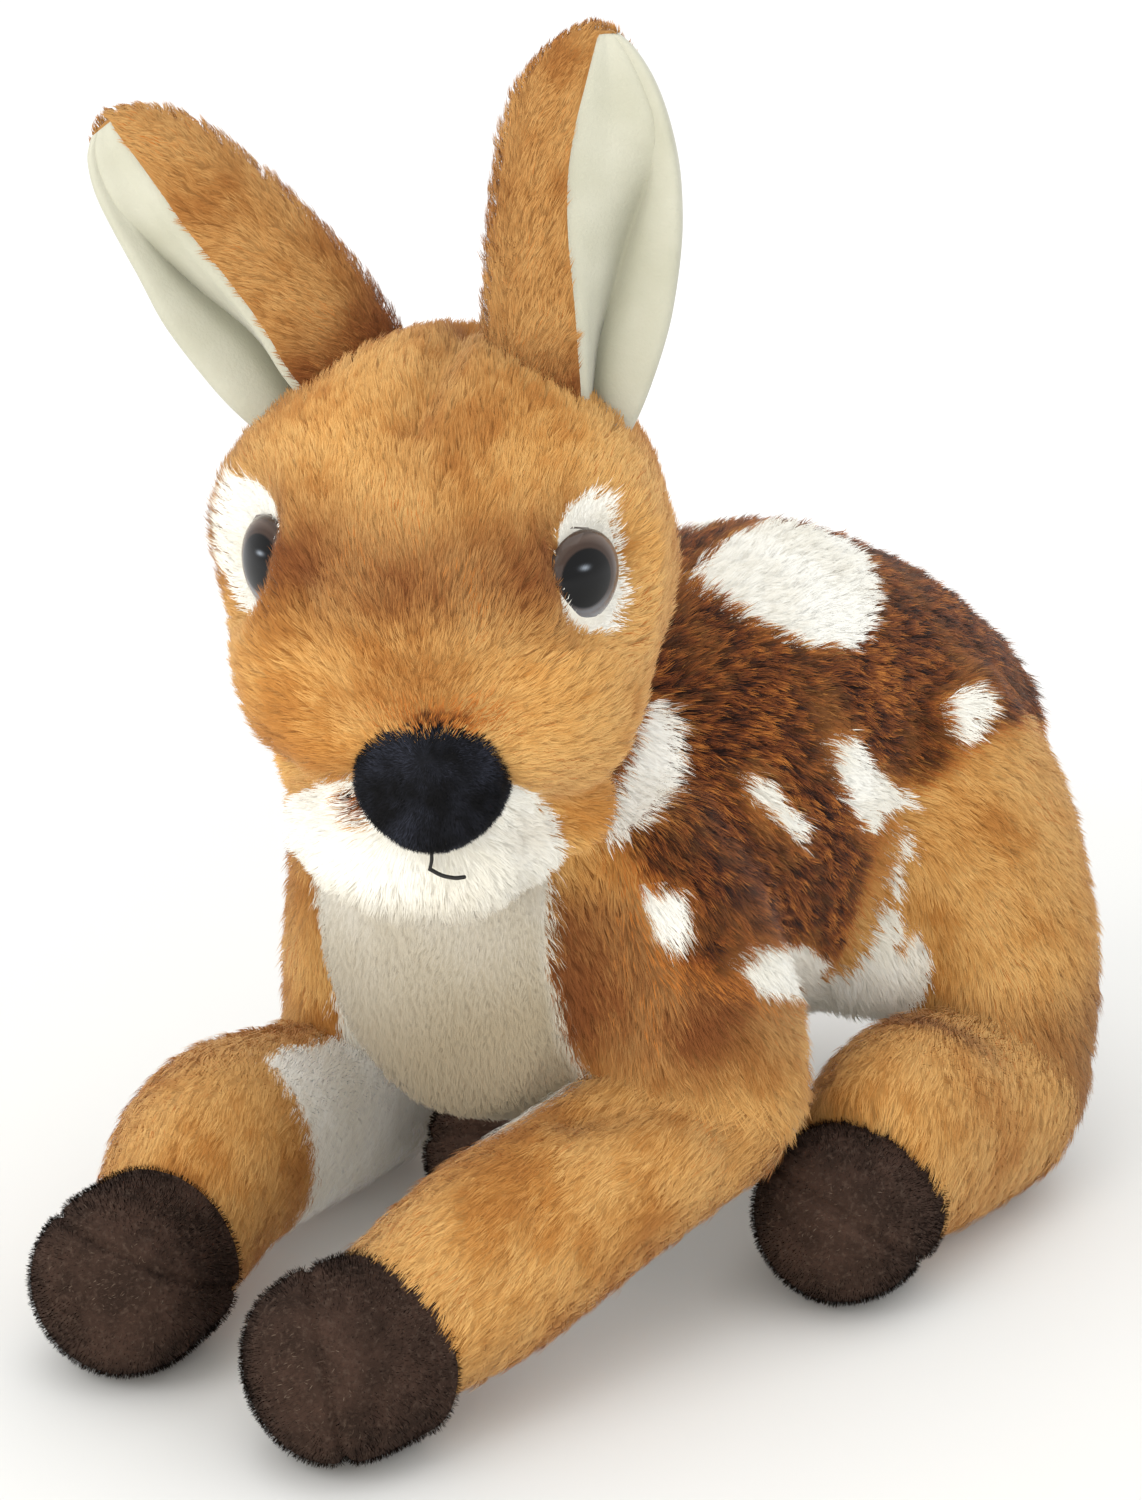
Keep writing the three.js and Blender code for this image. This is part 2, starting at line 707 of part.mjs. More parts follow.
// Head: seated on the neck, with hollows for the eyes and for the balls of the ears.
let head = headForm().subtract(neck(seamGap));
for (const side of sides) {
  const frame = eyeFrame(side);
  const profiles = { dome: eyeDomeProfile, back: eyeBackProfile, washer: washerProfile };
  const hollows = Object.values(profiles).map((profile) => moved(turned(profile(seamGap)), frame));
  head = head.subtract(wasm.Manifold.union(hollows));
  for (const [name, profile] of Object.entries(profiles)) {
    add(`eye_${side}_${name}`, moved(turned(profile(0)), frame), eyeLooks[name]);
  }

  const place = earFrame(side);
  const seat = new THREE.Vector3().setFromMatrixPosition(place).toArray();
  const lining = earLiningShare * earWidth;
  const shellNear = lining + seamGap;
  const shellFar = shellNear + earShellShare * earWidth;
  const shell = earLeaf(shellNear, shellFar, 0);
  const hollow = ball(earBallRadius + seamGap, seat);
  const grown = moved(earLeaf(-seamGap, shellFar + seamGap, -earRoomShare), place).add(hollow);
  const [low, high] = earSwing[side];
  head = head.subtract(roomOf(grown, seat, earAxis(side), [low - earSlack, high + earSlack]));
  add(`ear_${side}_shell`, moved(shell, place).add(ball(earBallRadius, seat)), "fur");
  add(`ear_${side}_lining`, moved(earLeaf(0, lining, earTrimShare), place).subtract(hollow), "fleece");
}
add("head", head, "fur");

const muzzle = muzzleForm().subtract(headForm(seamGap));
const snout = wasm.Manifold.union([headForm(seamGap), muzzleForm(seamGap)]);
add("muzzle", muzzle.subtract(noseForm(seamGap)), "white");
add("nose", noseForm().subtract(snout), "velour");
for (const name of Object.keys(stitchDropShares)) {
  add(`mouth_stitch_${name}`, stitchForm(name).subtract(snout), "thread");
}

// Legs and tail, which all swing about their balls.
function addLeg(side, name, ankleForm, start, end, width, roll) {
  const heading = vector(end, 0).sub(vector(start, 0)).normalize();
  const hoof = (grow) => hoofForm(end, heading, width, grow);
  add(`${name}_${side}`, ankleForm(side).subtract(hoof(seamGap)), "fur");
  // A hoof is two felt halves, sewn along the middle.
  const sideways = new THREE.Vector3().crossVectors(heading, up);
  const across = sideways.applyAxisAngle(heading, radians(roll));
  for (const [half, sign] of Object.entries({ a: 1, b: -1 })) {
    const middle = vector(end, width / 2).addScaledVector(across, (sign * seamGap) / 2);
    const other = halfSpace(middle.toArray(), across.clone().multiplyScalar(-sign));
    add(`${name}_${side}_hoof_${half}`, onFloor(hoof(0)).subtract(other), "felt");
  }
}
for (const side of sides) {
  const [elbow, hock] = [elbowPlaces[side], hockPlaces[side]];
  const [front, hind] = [hoofPlaces[side], hindHoofPlaces[side]];
  addLeg(side, "foreleg", forelegForm, elbow, front, hoofWidth, seamRoll.front[side]);
  addLeg(side, "shank", shankForm, hock, hind, hindHoofWidth, seamRoll.hind[side]);
}

const tail = tailForm();
add("tail", tail, "fur");

// Torso with its neck, and the upper parts of the legs that are sewn to it.
const coarse = { sides: 12, steps: 4 };
const rooms = Object.fromEntries(
  sides.map((side) => [
    side,
    wasm.Manifold.union([
      roomOf(forelegForm(side, roomGap, coarse), elbowPlaces[side], up, legSwing[side]),
      roomOf(shankForm(side, roomGap, coarse), hockPlaces[side], up, hindSwing[side]),
    ]),
  ]),
);
const tailAxis = new THREE.Vector3(1, 0, 0);
const tailRoom = roomOf(tailForm(2 * seamGap), tailPlace, tailAxis, tailSwing);
const body = torso().add(neck()).subtract(tailRoom);
const bibRoom = bibBlock(seamGap).subtract(torso(-bibThickness - seamGap)).subtract(neck());
const bib = torso().intersect(bibBlock(0)).subtract(torso(-bibThickness)).subtract(neck(seamGap));
add("body", body.subtract(rooms.left).subtract(rooms.right).subtract(bibRoom), "saddle");
add("bib", bib.subtract(rooms.left).subtract(rooms.right), "white");
const torsoSkin = torso(seamGap);
for (const side of sides) {
  add(`shoulder_${side}`, shoulderForm(side).subtract(torsoSkin).subtract(rooms[side]), "fur");
  add(`thigh_${side}`, onFloor(thighForm(side)).subtract(torsoSkin).subtract(rooms[side]), "fur");
}

// The origin is the middle of the part's box, on the floor.
const box = new THREE.Box3().setFromObject(group);
const middle = box.getCenter(new THREE.Vector3());
group.position.set(-middle.x, -middle.y, -box.min.z);

// The hinges, in that frame.
const hinge = (place, axis, range) => ({
  place: new THREE.Vector3(...place).add(group.position).toArray(),
  axis: axis.toArray(),
  range,
});
const earSeat = (side) => new THREE.Vector3().setFromMatrixPosition(earFrame(side)).toArray();
group.userData.joints = {
  head_turn: hinge(neckPlace, up, headSwing),
  tail_lift: hinge(tailPlace, tailAxis, tailSwing),
};
for (const side of sides) {
  Object.assign(group.userData.joints, {
    [`ear_${side}_fold`]: hinge(earSeat(side), earAxis(side), earSwing[side]),
    [`foreleg_${side}_swing`]: hinge(elbowPlaces[side], up, legSwing[side]),
    [`shank_${side}_swing`]: hinge(hockPlaces[side], up, hindSwing[side]),
  });
}

export default group;
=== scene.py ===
"""A lying plush fawn: stuffed forms under a combed pile, felt hooves, glossy eyes and a velour nose.

Sizes are in millimetres where they are typed, and in metres on every Blender object.
"""
import math

import bmesh
import bpy
import numpy as np
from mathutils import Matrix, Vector
from mathutils.bvhtree import BVHTree


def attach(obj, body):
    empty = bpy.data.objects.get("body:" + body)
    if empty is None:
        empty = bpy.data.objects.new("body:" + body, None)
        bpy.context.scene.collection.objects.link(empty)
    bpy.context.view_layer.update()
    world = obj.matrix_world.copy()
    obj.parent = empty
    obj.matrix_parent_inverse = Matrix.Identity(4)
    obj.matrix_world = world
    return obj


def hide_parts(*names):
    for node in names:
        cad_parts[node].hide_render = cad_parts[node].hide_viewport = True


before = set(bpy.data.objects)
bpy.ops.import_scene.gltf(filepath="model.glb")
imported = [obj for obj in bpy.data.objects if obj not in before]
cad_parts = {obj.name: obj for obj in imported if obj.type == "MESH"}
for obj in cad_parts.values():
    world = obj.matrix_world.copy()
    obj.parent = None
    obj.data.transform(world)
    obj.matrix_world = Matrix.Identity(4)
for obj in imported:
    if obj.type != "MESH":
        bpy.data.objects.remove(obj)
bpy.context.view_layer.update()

MM = 0.001

# ---------------------------------------------------------------- camera

AIM = Vector((3.27, -24.99, 108.0)) * MM
AZIMUTH, ELEVATION, DISTANCE = math.radians(38.0), math.radians(20.0), 0.9
FOCAL_SHARE = 4600 / 1500  # focal length over the picture's height
SENSOR = 36.0
CLIPPING = (0.05, 20.0)


def linked(name, data):
    made = bpy.data.objects.new(name, data)
    bpy.context.scene.collection.objects.link(made)
    return made


def set_camera():
    towards = Vector((
        math.sin(AZIMUTH) * math.cos(ELEVATION),
        -math.cos(AZIMUTH) * math.cos(ELEVATION),
        math.sin(ELEVATION),
    ))
    data = bpy.data.cameras.new("camera")
    data.sensor_width = data.sensor_height = SENSOR
    data.lens = FOCAL_SHARE * SENSOR
    data.clip_start, data.clip_end = CLIPPING
    camera = linked("camera", data)
    camera.location = AIM + towards * DISTANCE
    camera.rotation_euler = towards.to_track_quat("Z", "Y").to_euler()
    bpy.context.scene.camera = camera


set_camera()

# ---------------------------------------------------------------- node trees


class Graph:
    """A node tree written in reading order: each call adds one node and gives back an output."""

    def __init__(self, tree):
        self.tree = tree

    def add(self, kind, *values, out=0, **settings):
        node = self.tree.nodes.new(kind)
        for key, value in settings.items():
            setattr(node, key, value)
        slots = [slot for slot in node.inputs if slot.enabled]
        for slot, value in zip(slots, values):
            self.join(slot, value)
        return [slot for slot in node.outputs if slot.enabled][out]

    def join(self, slot, value):
        if isinstance(value, bpy.types.NodeSocket):
            self.tree.links.new(value, slot)
        elif value is not None:
            slot.default_value = value

    def geometry(self, kind, *values, **settings):
        return self.add(f"GeometryNode{kind}", *values, **settings)

    def math(self, operation, *values):
        return self.add("ShaderNodeMath", *values, operation=operation)

    def plus(self, a, b):
        return self.math("ADD", a, b)

    def minus(self, a, b):
        return self.math("SUBTRACT", a, b)

    def times(self, a, b):
        return self.math("MULTIPLY", a, b)

    def vector(self, operation, *values):
        return self.add("ShaderNodeVectorMath", *values, operation=operation)

    def mix(self, factor, a, b, kind="FLOAT", **settings):
        return self.add("ShaderNodeMix", factor, a, b, data_type=kind, **settings)

    def blend(self, factor, a, b, how="MIX"):
        return self.mix(factor, a, b, "RGBA", blend_type=how)

    def sum(self, *vectors):
        total = vectors[0]
        for other in vectors[1:]:
            total = self.vector("ADD", total, other)
        return total

    def scale(self, vector, amount):
        return self.vector("SCALE", vector, amount)

    def way(self, vector):
        return self.vector("NORMALIZE", vector)

    def grey(self, level):
        return self.add("ShaderNodeCombineColor", level, level, level)

    def clamp(self, value):
        return self.add("ShaderNodeClamp", value, 0.0, 1.0)

    def span(self, value, low, high, to_low=0.0, to_high=1.0):
        return self.add("ShaderNodeMapRange", value, low, high, to_low, to_high)


def new_group(name, kind, sockets):
    """A node group with named inputs and outputs: (name, kind of socket, default or None for an output)."""
    tree = bpy.data.node_groups.new(name, kind)
    for label, socket, default in sockets:
        in_out = "OUTPUT" if default is None else "INPUT"
        item = tree.interface.new_socket(label, in_out=in_out, socket_type=f"NodeSocket{socket}")
        if default not in (None, ()):
            item.default_value = default
    graph = Graph(tree)
    start = tree.nodes.new("NodeGroupInput")
    end = tree.nodes.new("NodeGroupOutput")
    return graph, {slot.name: slot for slot in start.outputs if slot.name}, end


# ---------------------------------------------------------------- meshes


def mesh_object(name, points, faces):
    """A linked object from points in millimetres."""
    mesh = bpy.data.meshes.new(name)
    mesh.from_pydata((np.asarray(points, float) * MM).tolist(), [], [list(f) for f in faces])
    mesh.validate()
    mesh.shade_smooth()
    return linked(name, mesh)


def settled(obj):
    """The object with its modifiers' result as its plain mesh."""
    bpy.context.view_layer.update()
    graph = bpy.context.evaluated_depsgraph_get()
    mesh = bpy.data.meshes.new_from_object(
        obj.evaluated_get(graph), preserve_all_data_layers=True, depsgraph=graph
    )
    obj.modifiers.clear()
    old = obj.data
    obj.data = mesh
    bpy.data.meshes.remove(old)
    mesh.name = obj.name
    return obj


def vertex_vectors(obj, field):
    flat = np.zeros(len(obj.data.vertices) * 3)
    obj.data.vertices.foreach_get(field, flat)
    return flat.reshape(-1, 3)


def points_of(obj):
    return vertex_vectors(obj, "co") / MM


def normals_of(obj):
    return vertex_vectors(obj, "normal")


def move_points(obj, points):
    obj.data.vertices.foreach_set("co", (points * MM).ravel())
    obj.data.update()


def write(obj, name, values, kind="FLOAT"):
    layer = obj.data.attributes.get(name) or obj.data.attributes.new(name, kind, "POINT")
    layer.data.foreach_set("vector" if kind == "FLOAT_VECTOR" else "value", np.ravel(values))


def unit(vectors):
    vectors = np.asarray(vectors, float)
    return vectors / np.maximum(np.linalg.norm(vectors, axis=-1, keepdims=True), 1e-9)


def smoothstep(value, low, high):
    share = np.clip((value - low) / (high - low), 0, 1)
    return share * share * (3 - 2 * share)


def fading(away, width):
    """1 at the middle of a band, and near 0 at twice its width."""
    return np.exp(-((away / width) ** 2))


def eased(a, b, c, d, t):
    """A smooth curve from b to c, with a and d as the points before and after."""
    return b + t * (c - a + t * (2 * a - 5 * b + 4 * c - d + t * (3 * (b - c) + d - a))) / 2


def through(values, share):
    """The values at shares along their row, drawn through them smoothly."""
    values = np.asarray(values, float)
    last = len(values) - 1
    at = np.clip(share * last, 0, last - 1e-9)
    i = np.floor(at).astype(int)
    t = (at - i)[..., None] if values.ndim > 1 else at - i
    ends = [2 * values[0] - values[1], *values, 2 * values[-1] - values[-2]]
    return eased(*(np.array(ends)[i + k] for k in range(4)), t)


DOME_RINGS = 8


def loft(stations, domes, reference=(0, 0, 1), sides=40, steps=36, pinch=0.0):
    """A stuffed form along its stations (x, y, z, half across, half tall), closed by a dome at each end."""
    stations = np.asarray(stations, float)
    shares = np.linspace(0, 1, steps + 1)
    rows = through(stations, shares)
    tangents = unit(np.gradient(rows[:, :3], axis=0))
    angles = 2 * np.pi * np.arange(sides) / sides

    def ring(row, tangent, share=1.0, ahead=0.0):
        centre, across, tall = row[:3] + ahead, row[3] * share, row[4] * share
        side = unit(np.cross(tangent, reference))
        top = np.cross(side, tangent)
        drawn = across * (1 - pinch * np.maximum(0, -np.sin(angles)))
        return centre + np.outer(np.cos(angles) * drawn, side) + np.outer(np.sin(angles) * tall, top)

    def dome(end):
        row, tangent = rows[-end], tangents[-end]
        outwards = tangent * (1 if end else -1)
        reach = domes[end] * min(row[3], row[4])
        turns = np.pi / 2 * np.arange(1, DOME_RINGS + 1) / (DOME_RINGS + 1)
        rings = [ring(row, tangent, math.cos(a), outwards * reach * math.sin(a)) for a in turns]
        return rings, row[:3] + outwards * reach

    start, end = dome(0), dome(1)
    rings = start[0][::-1] + [ring(r, t) for r, t in zip(rows, tangents)] + end[0]
    points = np.concatenate([*rings, [start[1]], [end[1]]])
    faces = []
    for i in range(len(rings) - 1):
        for j in range(sides):
            a, b = i * sides + j, i * sides + (j + 1) % sides
            faces.append((a, a + sides, b + sides, b))
    first, last = len(points) - 2, len(points) - 1
    tail = (len(rings) - 1) * sides
    for j in range(sides):
        k = (j + 1) % sides
        faces.append((first, j, k))
        faces.append((last, tail + k, tail + j))
    return points, faces


def ball(centre, radius, flat=0.01):
    x, y, z = centre
    rows = [(x, y, z + lift, radius, radius) for lift in (-flat, flat)]
    return loft(rows, (1, 1), (0, 1, 0), 32, 1)


def joined(parts):
    points, faces, first = [], [], 0
    for part_points, part_faces in parts:
        points.append(part_points)
        faces += [tuple(first + i for i in face) for face in part_faces]
        first += len(part_points)
    return np.concatenate(points), faces


def tree_of(points, faces):
    return BVHTree.FromPolygons([tuple(p) for p in points], [tuple(f) for f in faces])


def depth_in(points, tree):
    """How deep each point lies inside the closed surface of a tree, negative outside."""
    deep = np.empty(len(points))
    for i, point in enumerate(points):
        place, normal, _, distance = tree.find_nearest(Vector(point))
        inside = (Vector(point) - place).dot(normal) < 0
        deep[i] = distance if inside else -distance
    return deep


# ---------------------------------------------------------------- the sewn forms

SIDES = ("left", "right")
SPINE_X = 0.27  # the middle of the torso
LEG_DOMES = (1, 0.3)  # how far a leg's two ends bulge, as shares of its half width
PILE_ROOM = 3.2  # how far the cloth lies inside the outline that the pile makes

TORSO = [
    (SPINE_X, -62.3, 76.6, 31.7, 37), (SPINE_X, -46.5, 77.9, 37.8, 43.6), (SPINE_X, -24.9, 83, 41.8, 47),
    (SPINE_X, 4.7, 87.6, 44.0, 52.0), (SPINE_X, 36.2, 84.4, 44.0, 54.5), (SPINE_X, 67.7, 78.2, 42.7, 47.5),
    (SPINE_X, 93.3, 70.4, 37.0, 38.5),
]
NECK = [
    (-1, -50, 88, 29.5, 27), (-1.2, -52, 108, 30, 26.5), (-0.8, -53, 128, 28.5, 26),
    (SPINE_X, -53, 142, 22, 22),
]
# The fullness in front of each thigh.
BELLY, BELLY_RADIUS = [(SPINE_X - 28, 42, 57), (SPINE_X + 28, 42, 57)], 21
SHOULDERS = {
    "left": [
        (29.3, -37, 103, 11.2, 17.6), (35.5, -33.9, 83.1, 15.2, 21.6), (39.2, -30.7, 62, 18.8, 24),
        (40, -28, 44.4, 20, 22.4),
    ],
    "right": [
        (-33, -39, 104, 13, 18), (-42.8, -30, 74.4, 16.4, 22), (-50.4, -20.5, 44.1, 18.8, 24),
        (-56.2, -13.5, 18.8, 20, 22.4),
    ],
}
THIGHS = {
    "left": [
        (32.3, 55, 100, 15.2, 21.6), (41, 58, 79, 18.4, 28.4), (47.8, 62, 49, 20.6, 25.6),
        (53, 53, 20.4, 20.5, 22.8),
    ],
    "right": [
        (-31.7, 55, 100, 15.2, 21.6), (-34.6, 59.1, 76.1, 17.6, 24), (-36.1, 57.1, 49, 20, 24),
        (-35.7, 47, 20.4, 20, 20.8),
    ],
}
FORELEGS = {
    "left": [
        (40, -31, 44.4, 20, 20), (35.2, -55.4, 37.1, 20, 20), (29.4, -84.9, 28.2, 20, 21.6),
        (25.6, -104.1, 22.5, 18.4, 18.4),
    ],
    "right": [
        (-56.2, -16.5, 18.8, 20, 20), (-51, -44.6, 22.2, 20.6, 20.8), (-46.2, -75.5, 25.6, 21.8, 22.8),
        (-37, -101.5, 18.4, 17.8, 17.8),
    ],
}
SHANKS = {
    "left": [
        (52.8, 51.5, 21, 21.6, 23), (54.3, 33.8, 22.6, 20.8, 24.4), (55.8, 16.1, 25.4, 20.4, 25.2),
        (57, 3.5, 22.4, 19, 22.8),
    ],
    "right": [
        (-35.7, 47, 20.4, 21.6, 21.6), (-28.4, 25.1, 19.3, 20, 20.4), (-21, 3.2, 18.3, 19.2, 19.6),
        (-15.2, -14.3, 17.4, 18, 17.6),
    ],
}
HOOVES = {
    "foreleg_left": [
        (24.8, -104.8, 18.4, 18.2, 18.2), (22, -118.8, 18.5, 19, 19), (21.1, -123.4, 18.5, 18, 18),
    ],
    "foreleg_right": [
        (-36, -103.6, 18, 17.8, 17.8), (-33.2, -117.6, 18.1, 18.5, 18.5), (-32.4, -121.8, 18.1, 17.6, 17.6),
    ],
    "shank_left": [
        (56.7, 5.4, 17.4, 17.1, 17.1), (57.8, -7.5, 17.4, 18, 18), (58.1, -11.8, 17.4, 17.1, 17.1),
    ],
    "shank_right": [
        (-15.4, -13.7, 17.4, 17.1, 17.1), (-11.2, -26, 17.4, 18, 18), (-9.9, -30.1, 17.4, 17.1, 17.1),
    ],
}
TAIL = [(SPINE_X, 109, 88, 8.2, 8.2), (SPINE_X, 122.6, 76.4, 9.4, 6.5), (SPINE_X, 130.1, 60.8, 7.3, 4.9)]
HEAD = [
    (-4, -46, 166.1, 33.2, 30.8), (3.1, -57.7, 164.9, 38.3, 36.6), (9.6, -68.6, 163, 39.5, 38.5),
    (15.7, -78.7, 158, 37.5, 36.6), (21.8, -88.9, 149.9, 34, 33.1), (27, -97.5, 138.8, 28.4, 23.1),
    (30.3, -102.9, 131.4, 21.3, 14.6),
]
MUZZLE = [(19.6, -86, 118.4, 23.7, 15), (23.2, -92.3, 115.2, 24.5, 16.6), (27, -98.6, 114.6, 21.6, 15)]
JOWLS = [((2, -84, 122), 13.5), ((32, -71, 121), 12)]  # fill the cheeks down to the muzzle
NOSE = [(33.6, -102.9, 131.4, 13.4, 12.3), (36.9, -108.8, 133.4, 13.3, 12)]
EYES = {
    "left": ((46.9, -78.2, 165.7), (0.9925, -0.1219, 0.0)),
    "right": ((-4.5, -102.3, 164.3), (-0.3584, -0.9336, 0.0)),
}
EYE_RADIUS = 8.8


def sewn(name, parts, voxel, rounds, room=PILE_ROOM):
    """One smooth closed skin round the parts, drawn in by the room that the pile takes."""
    points, faces = joined(parts)
    made = mesh_object(name, points, faces)
    remesh = made.modifiers.new("remesh", "REMESH")
    remesh.mode, remesh.voxel_size, remesh.adaptivity = "VOXEL", voxel * MM, 0.0
    relax = made.modifiers.new("relax", "SMOOTH")
    relax.factor, relax.iterations = 0.5, rounds
    settled(made)
    made.data.shade_smooth()
    move_points(made, points_of(made) - normals_of(made) * room)
    return made


def pushed(obj, pushes):
    """Sculpts a skin: each push is (place, reach, move), and fades out with distance."""
    points = points_of(obj)
    moved = points.copy()
    for place, reach, move in pushes:
        away = np.linalg.norm((points - place) / reach, axis=1)
        moved += np.outer(np.exp(-away * away), move)
    move_points(obj, moved)


def off_line(points, line):
    """How far each point lies from a curve through a few places."""
    path = through(np.asarray(line, float), np.linspace(0, 1, 24))
    return np.linalg.norm(points[:, None] - path[None], axis=2).min(1)


def creased(obj, line, width, depth):
    """Draws a skin in along a line of places, as a seam or a fold does."""
    points, normals = points_of(obj), normals_of(obj)
    away = off_line(points, line)
    move_points(obj, points - normals * (depth * fading(away, width))[:, None])


def on_floor(obj, low=0.4):
    """Flattens a skin where it lies on the floor."""
    points = points_of(obj)
    points[:, 2] = np.maximum(points[:, 2], low)
    move_points(obj, points)


# ---------------------------------------------------------------- colours


def dye(code, alpha=1.0):
    """A linear colour from a six-figure code."""
    parts = [int(code[i:i + 2], 16) / 255 for i in (0, 2, 4)]
    return (*[c / 12.92 if c <= 0.04045 else ((c + 0.055) / 1.055) ** 2.4 for c in parts], alpha)


TAN_LIGHT, TAN, TAN_DEEP = dye("DEB06C"), dye("C98D43"), dye("A2622A")
SADDLE_ORANGE, SADDLE_TIP = dye("B87232"), dye("BE7630")
SADDLE, SADDLE_DEEP = dye("7A3E16"), dye("240D05")
# The duller cream is a random tone; the warm beige is the bib's own colour and also painted shade under the
# muzzle and lower down the bib.
CREAM, CREAM_DULL, BEIGE_AND_SHADE_CREAM = dye("FAF9F1"), dye("ECE8DA"), dye("A2957D")
# A brown laid on the face and ears, and also used as painted shade in creases, in the face's folds, on the
# shoulders under the head and on the lower thighs.
BROWN_DYE_AND_SHADE = dye("7A4620")


def new_material(name, **finish):
    """A material with one shader: an input's name is typed with _ for each space."""
    made = bpy.data.materials.new(name)
    made.use_nodes = True
    tree = made.node_tree
    tree.nodes.clear()
    graph = Graph(tree)
    shader = tree.nodes.new("ShaderNodeBsdfPrincipled")
    output = tree.nodes.new("ShaderNodeOutputMaterial")
    tree.links.new(shader.outputs[0], output.inputs[0])
    for key, value in finish.items():
        shader.inputs[key.replace("_", " ")].default_value = value
    return made, graph, shader


def bumped(graph, shader, height, strength, distance):
    bump = graph.tree.nodes.new("ShaderNodeBump")
    bump.inputs["Strength"].default_value = strength
    bump.inputs["Distance"].default_value = distance
    graph.join(bump.inputs["Height"], height)
    graph.join(shader.inputs["Normal"], bump.outputs[0])


def on_object(graph):
    return graph.add("ShaderNodeTexCoord", out=3)


def noise(graph, place, scale, detail=2.0, out=0, **settings):
    return graph.add("ShaderNodeTexNoise", place, scale, detail, 0.5, 2.0, 0.0, out=out, **settings)


def read(graph, name, vector=False):
    node = graph.tree.nodes.new("ShaderNodeAttribute")
    node.attribute_name = name
    return node.outputs["Vector" if vector else "Fac"]


def pile_colour_group():
    """The colour of the pile at a place, from how much saddle, cream and brow dye it took, and from the
    painted shade that the brow input also carries.
    """
    graph, given, end = new_group("pile_colour", "ShaderNodeTree", [
        ("Place", "Vector", ()), ("Saddle", "Float", 0.0), ("Cream", "Float", 0.0), ("Brow", "Float", 0.0),
        ("Tone", "Float", 0.5), ("Tuft", "Float", 0.5), ("Reach", "Float", 0.5),
        ("Colour", "Color", None),
    ])
    place, tone, reach = given["Place"], given["Tone"], given["Reach"]
    broad = noise(graph, place, 55.0, 3.0)
    fine = noise(graph, place, 260.0, 2.0)
    patchy_wear_and_sheen = graph.plus(graph.times(broad, 0.7), graph.times(fine, 0.3))
    spread = graph.times(graph.minus(tone, 0.5), 0.9)
    lifted = graph.plus(graph.span(patchy_wear_and_sheen, 0.38, 0.62), graph.times(spread, 0.65))
    lifted = graph.clamp(lifted)
    tan = graph.blend(lifted, TAN, TAN_LIGHT)
    tan = graph.blend(graph.span(patchy_wear_and_sheen, 0.5, 0.36, 0.0, 0.45), tan, TAN_DEEP)
    # brow dye and painted shade both darken the tan towards brown
    shaded = graph.times(given["Brow"], graph.span(lifted, 0.0, 1.0, 1.15, 0.8))
    tan = graph.blend(graph.clamp(shaded), tan, BROWN_DYE_AND_SHADE)
    edge = graph.plus(given["Saddle"], graph.times(graph.minus(patchy_wear_and_sheen, 0.5), 1.1))
    tipped = graph.plus(graph.times(lifted, 0.6), graph.times(given["Tuft"], 1.0))
    tipped = graph.plus(tipped, graph.times(graph.minus(reach, 0.75), 1.5))
    saddle = graph.blend(graph.span(tipped, 0.25, 0.95), SADDLE_DEEP, SADDLE)
    saddle = graph.blend(graph.span(tipped, 0.95, 1.5), saddle, SADDLE_TIP)
    saddle = graph.blend(graph.span(edge, 1.0, 0.55, 0.0, 0.85), saddle, SADDLE_ORANGE)
    dyed = graph.blend(graph.span(graph.plus(edge, spread), 0.4, 0.55), tan, saddle)
    cream = graph.blend(lifted, CREAM_DULL, CREAM)
    # on cream, the same input turns it warm beige: the bib's own beige and painted shade
    cream = graph.blend(given["Brow"], cream, BEIGE_AND_SHADE_CREAM)
    bleached = graph.plus(given["Cream"], graph.times(spread, 0.6))
    bleached = graph.times(graph.span(bleached, 0.42, 0.58), graph.math("GREATER_THAN", given["Cream"], 0.02))
    dyed = graph.blend(bleached, dyed, cream)
    # Painted shade: each fibre darkens towards its root as if shaded by the pile round it, on a random tone;
    # cream fibres vary less.
    level = graph.times(graph.span(reach, 0.0, 1.0, 0.74, 1.06), graph.span(tone, 0.0, 1.0, 0.92, 1.08))
    level = graph.mix(graph.times(bleached, 0.7), level, 1.0)
    grey = graph.grey(level)
    graph.join(end.inputs[0], graph.blend(1.0, dyed, grey, "MULTIPLY"))
    return graph.tree


PILE_COLOUR = pile_colour_group()
BACK_PAINTED_LIGHT = 1.5  # painted light: a fibre's back face gets a brighter colour, standing in for light through the fibre, so it looks brighter than it would
LIGHT_THROUGH = 0.7  # how much soft light passes between the fibres


def pile_material(name):
    made, graph, shader = new_material(
        name, Roughness=0.75, Specular_IOR_Level=0.15, Sheen_Weight=0.08, Sheen_Roughness=0.5
    )
    group = graph.tree.nodes.new("ShaderNodeGroup")
    group.node_tree = PILE_COLOUR
    graph.join(group.inputs["Place"], read(graph, "root", True))
    for slot in ("Saddle", "Cream", "Brow", "Tone", "Tuft", "Reach"):
        graph.join(group.inputs[slot], read(graph, slot.lower()))
    # Painted light on the fibres' back faces.
    turned = graph.add("ShaderNodeNewGeometry", out=6)
    lift = graph.mix(turned, 1.0, BACK_PAINTED_LIGHT)
    grey = graph.grey(lift)
    lit = graph.mix(1.0, group.outputs[0], grey, "RGBA", blend_type="MULTIPLY", clamp_result=True)
    graph.join(shader.inputs["Base Color"], lit)
    path = graph.tree.nodes.new("ShaderNodeLightPath")
    unseen = graph.math("MAXIMUM", path.outputs["Is Shadow Ray"], path.outputs["Is Diffuse Ray"])
    graph.join(shader.inputs["Alpha"], graph.minus(1.0, graph.times(unseen, LIGHT_THROUGH)))
    return made


# ---------------------------------------------------------------- the pile

STRAND_FACES = [(0, 2, 1), (1, 2, 3)]


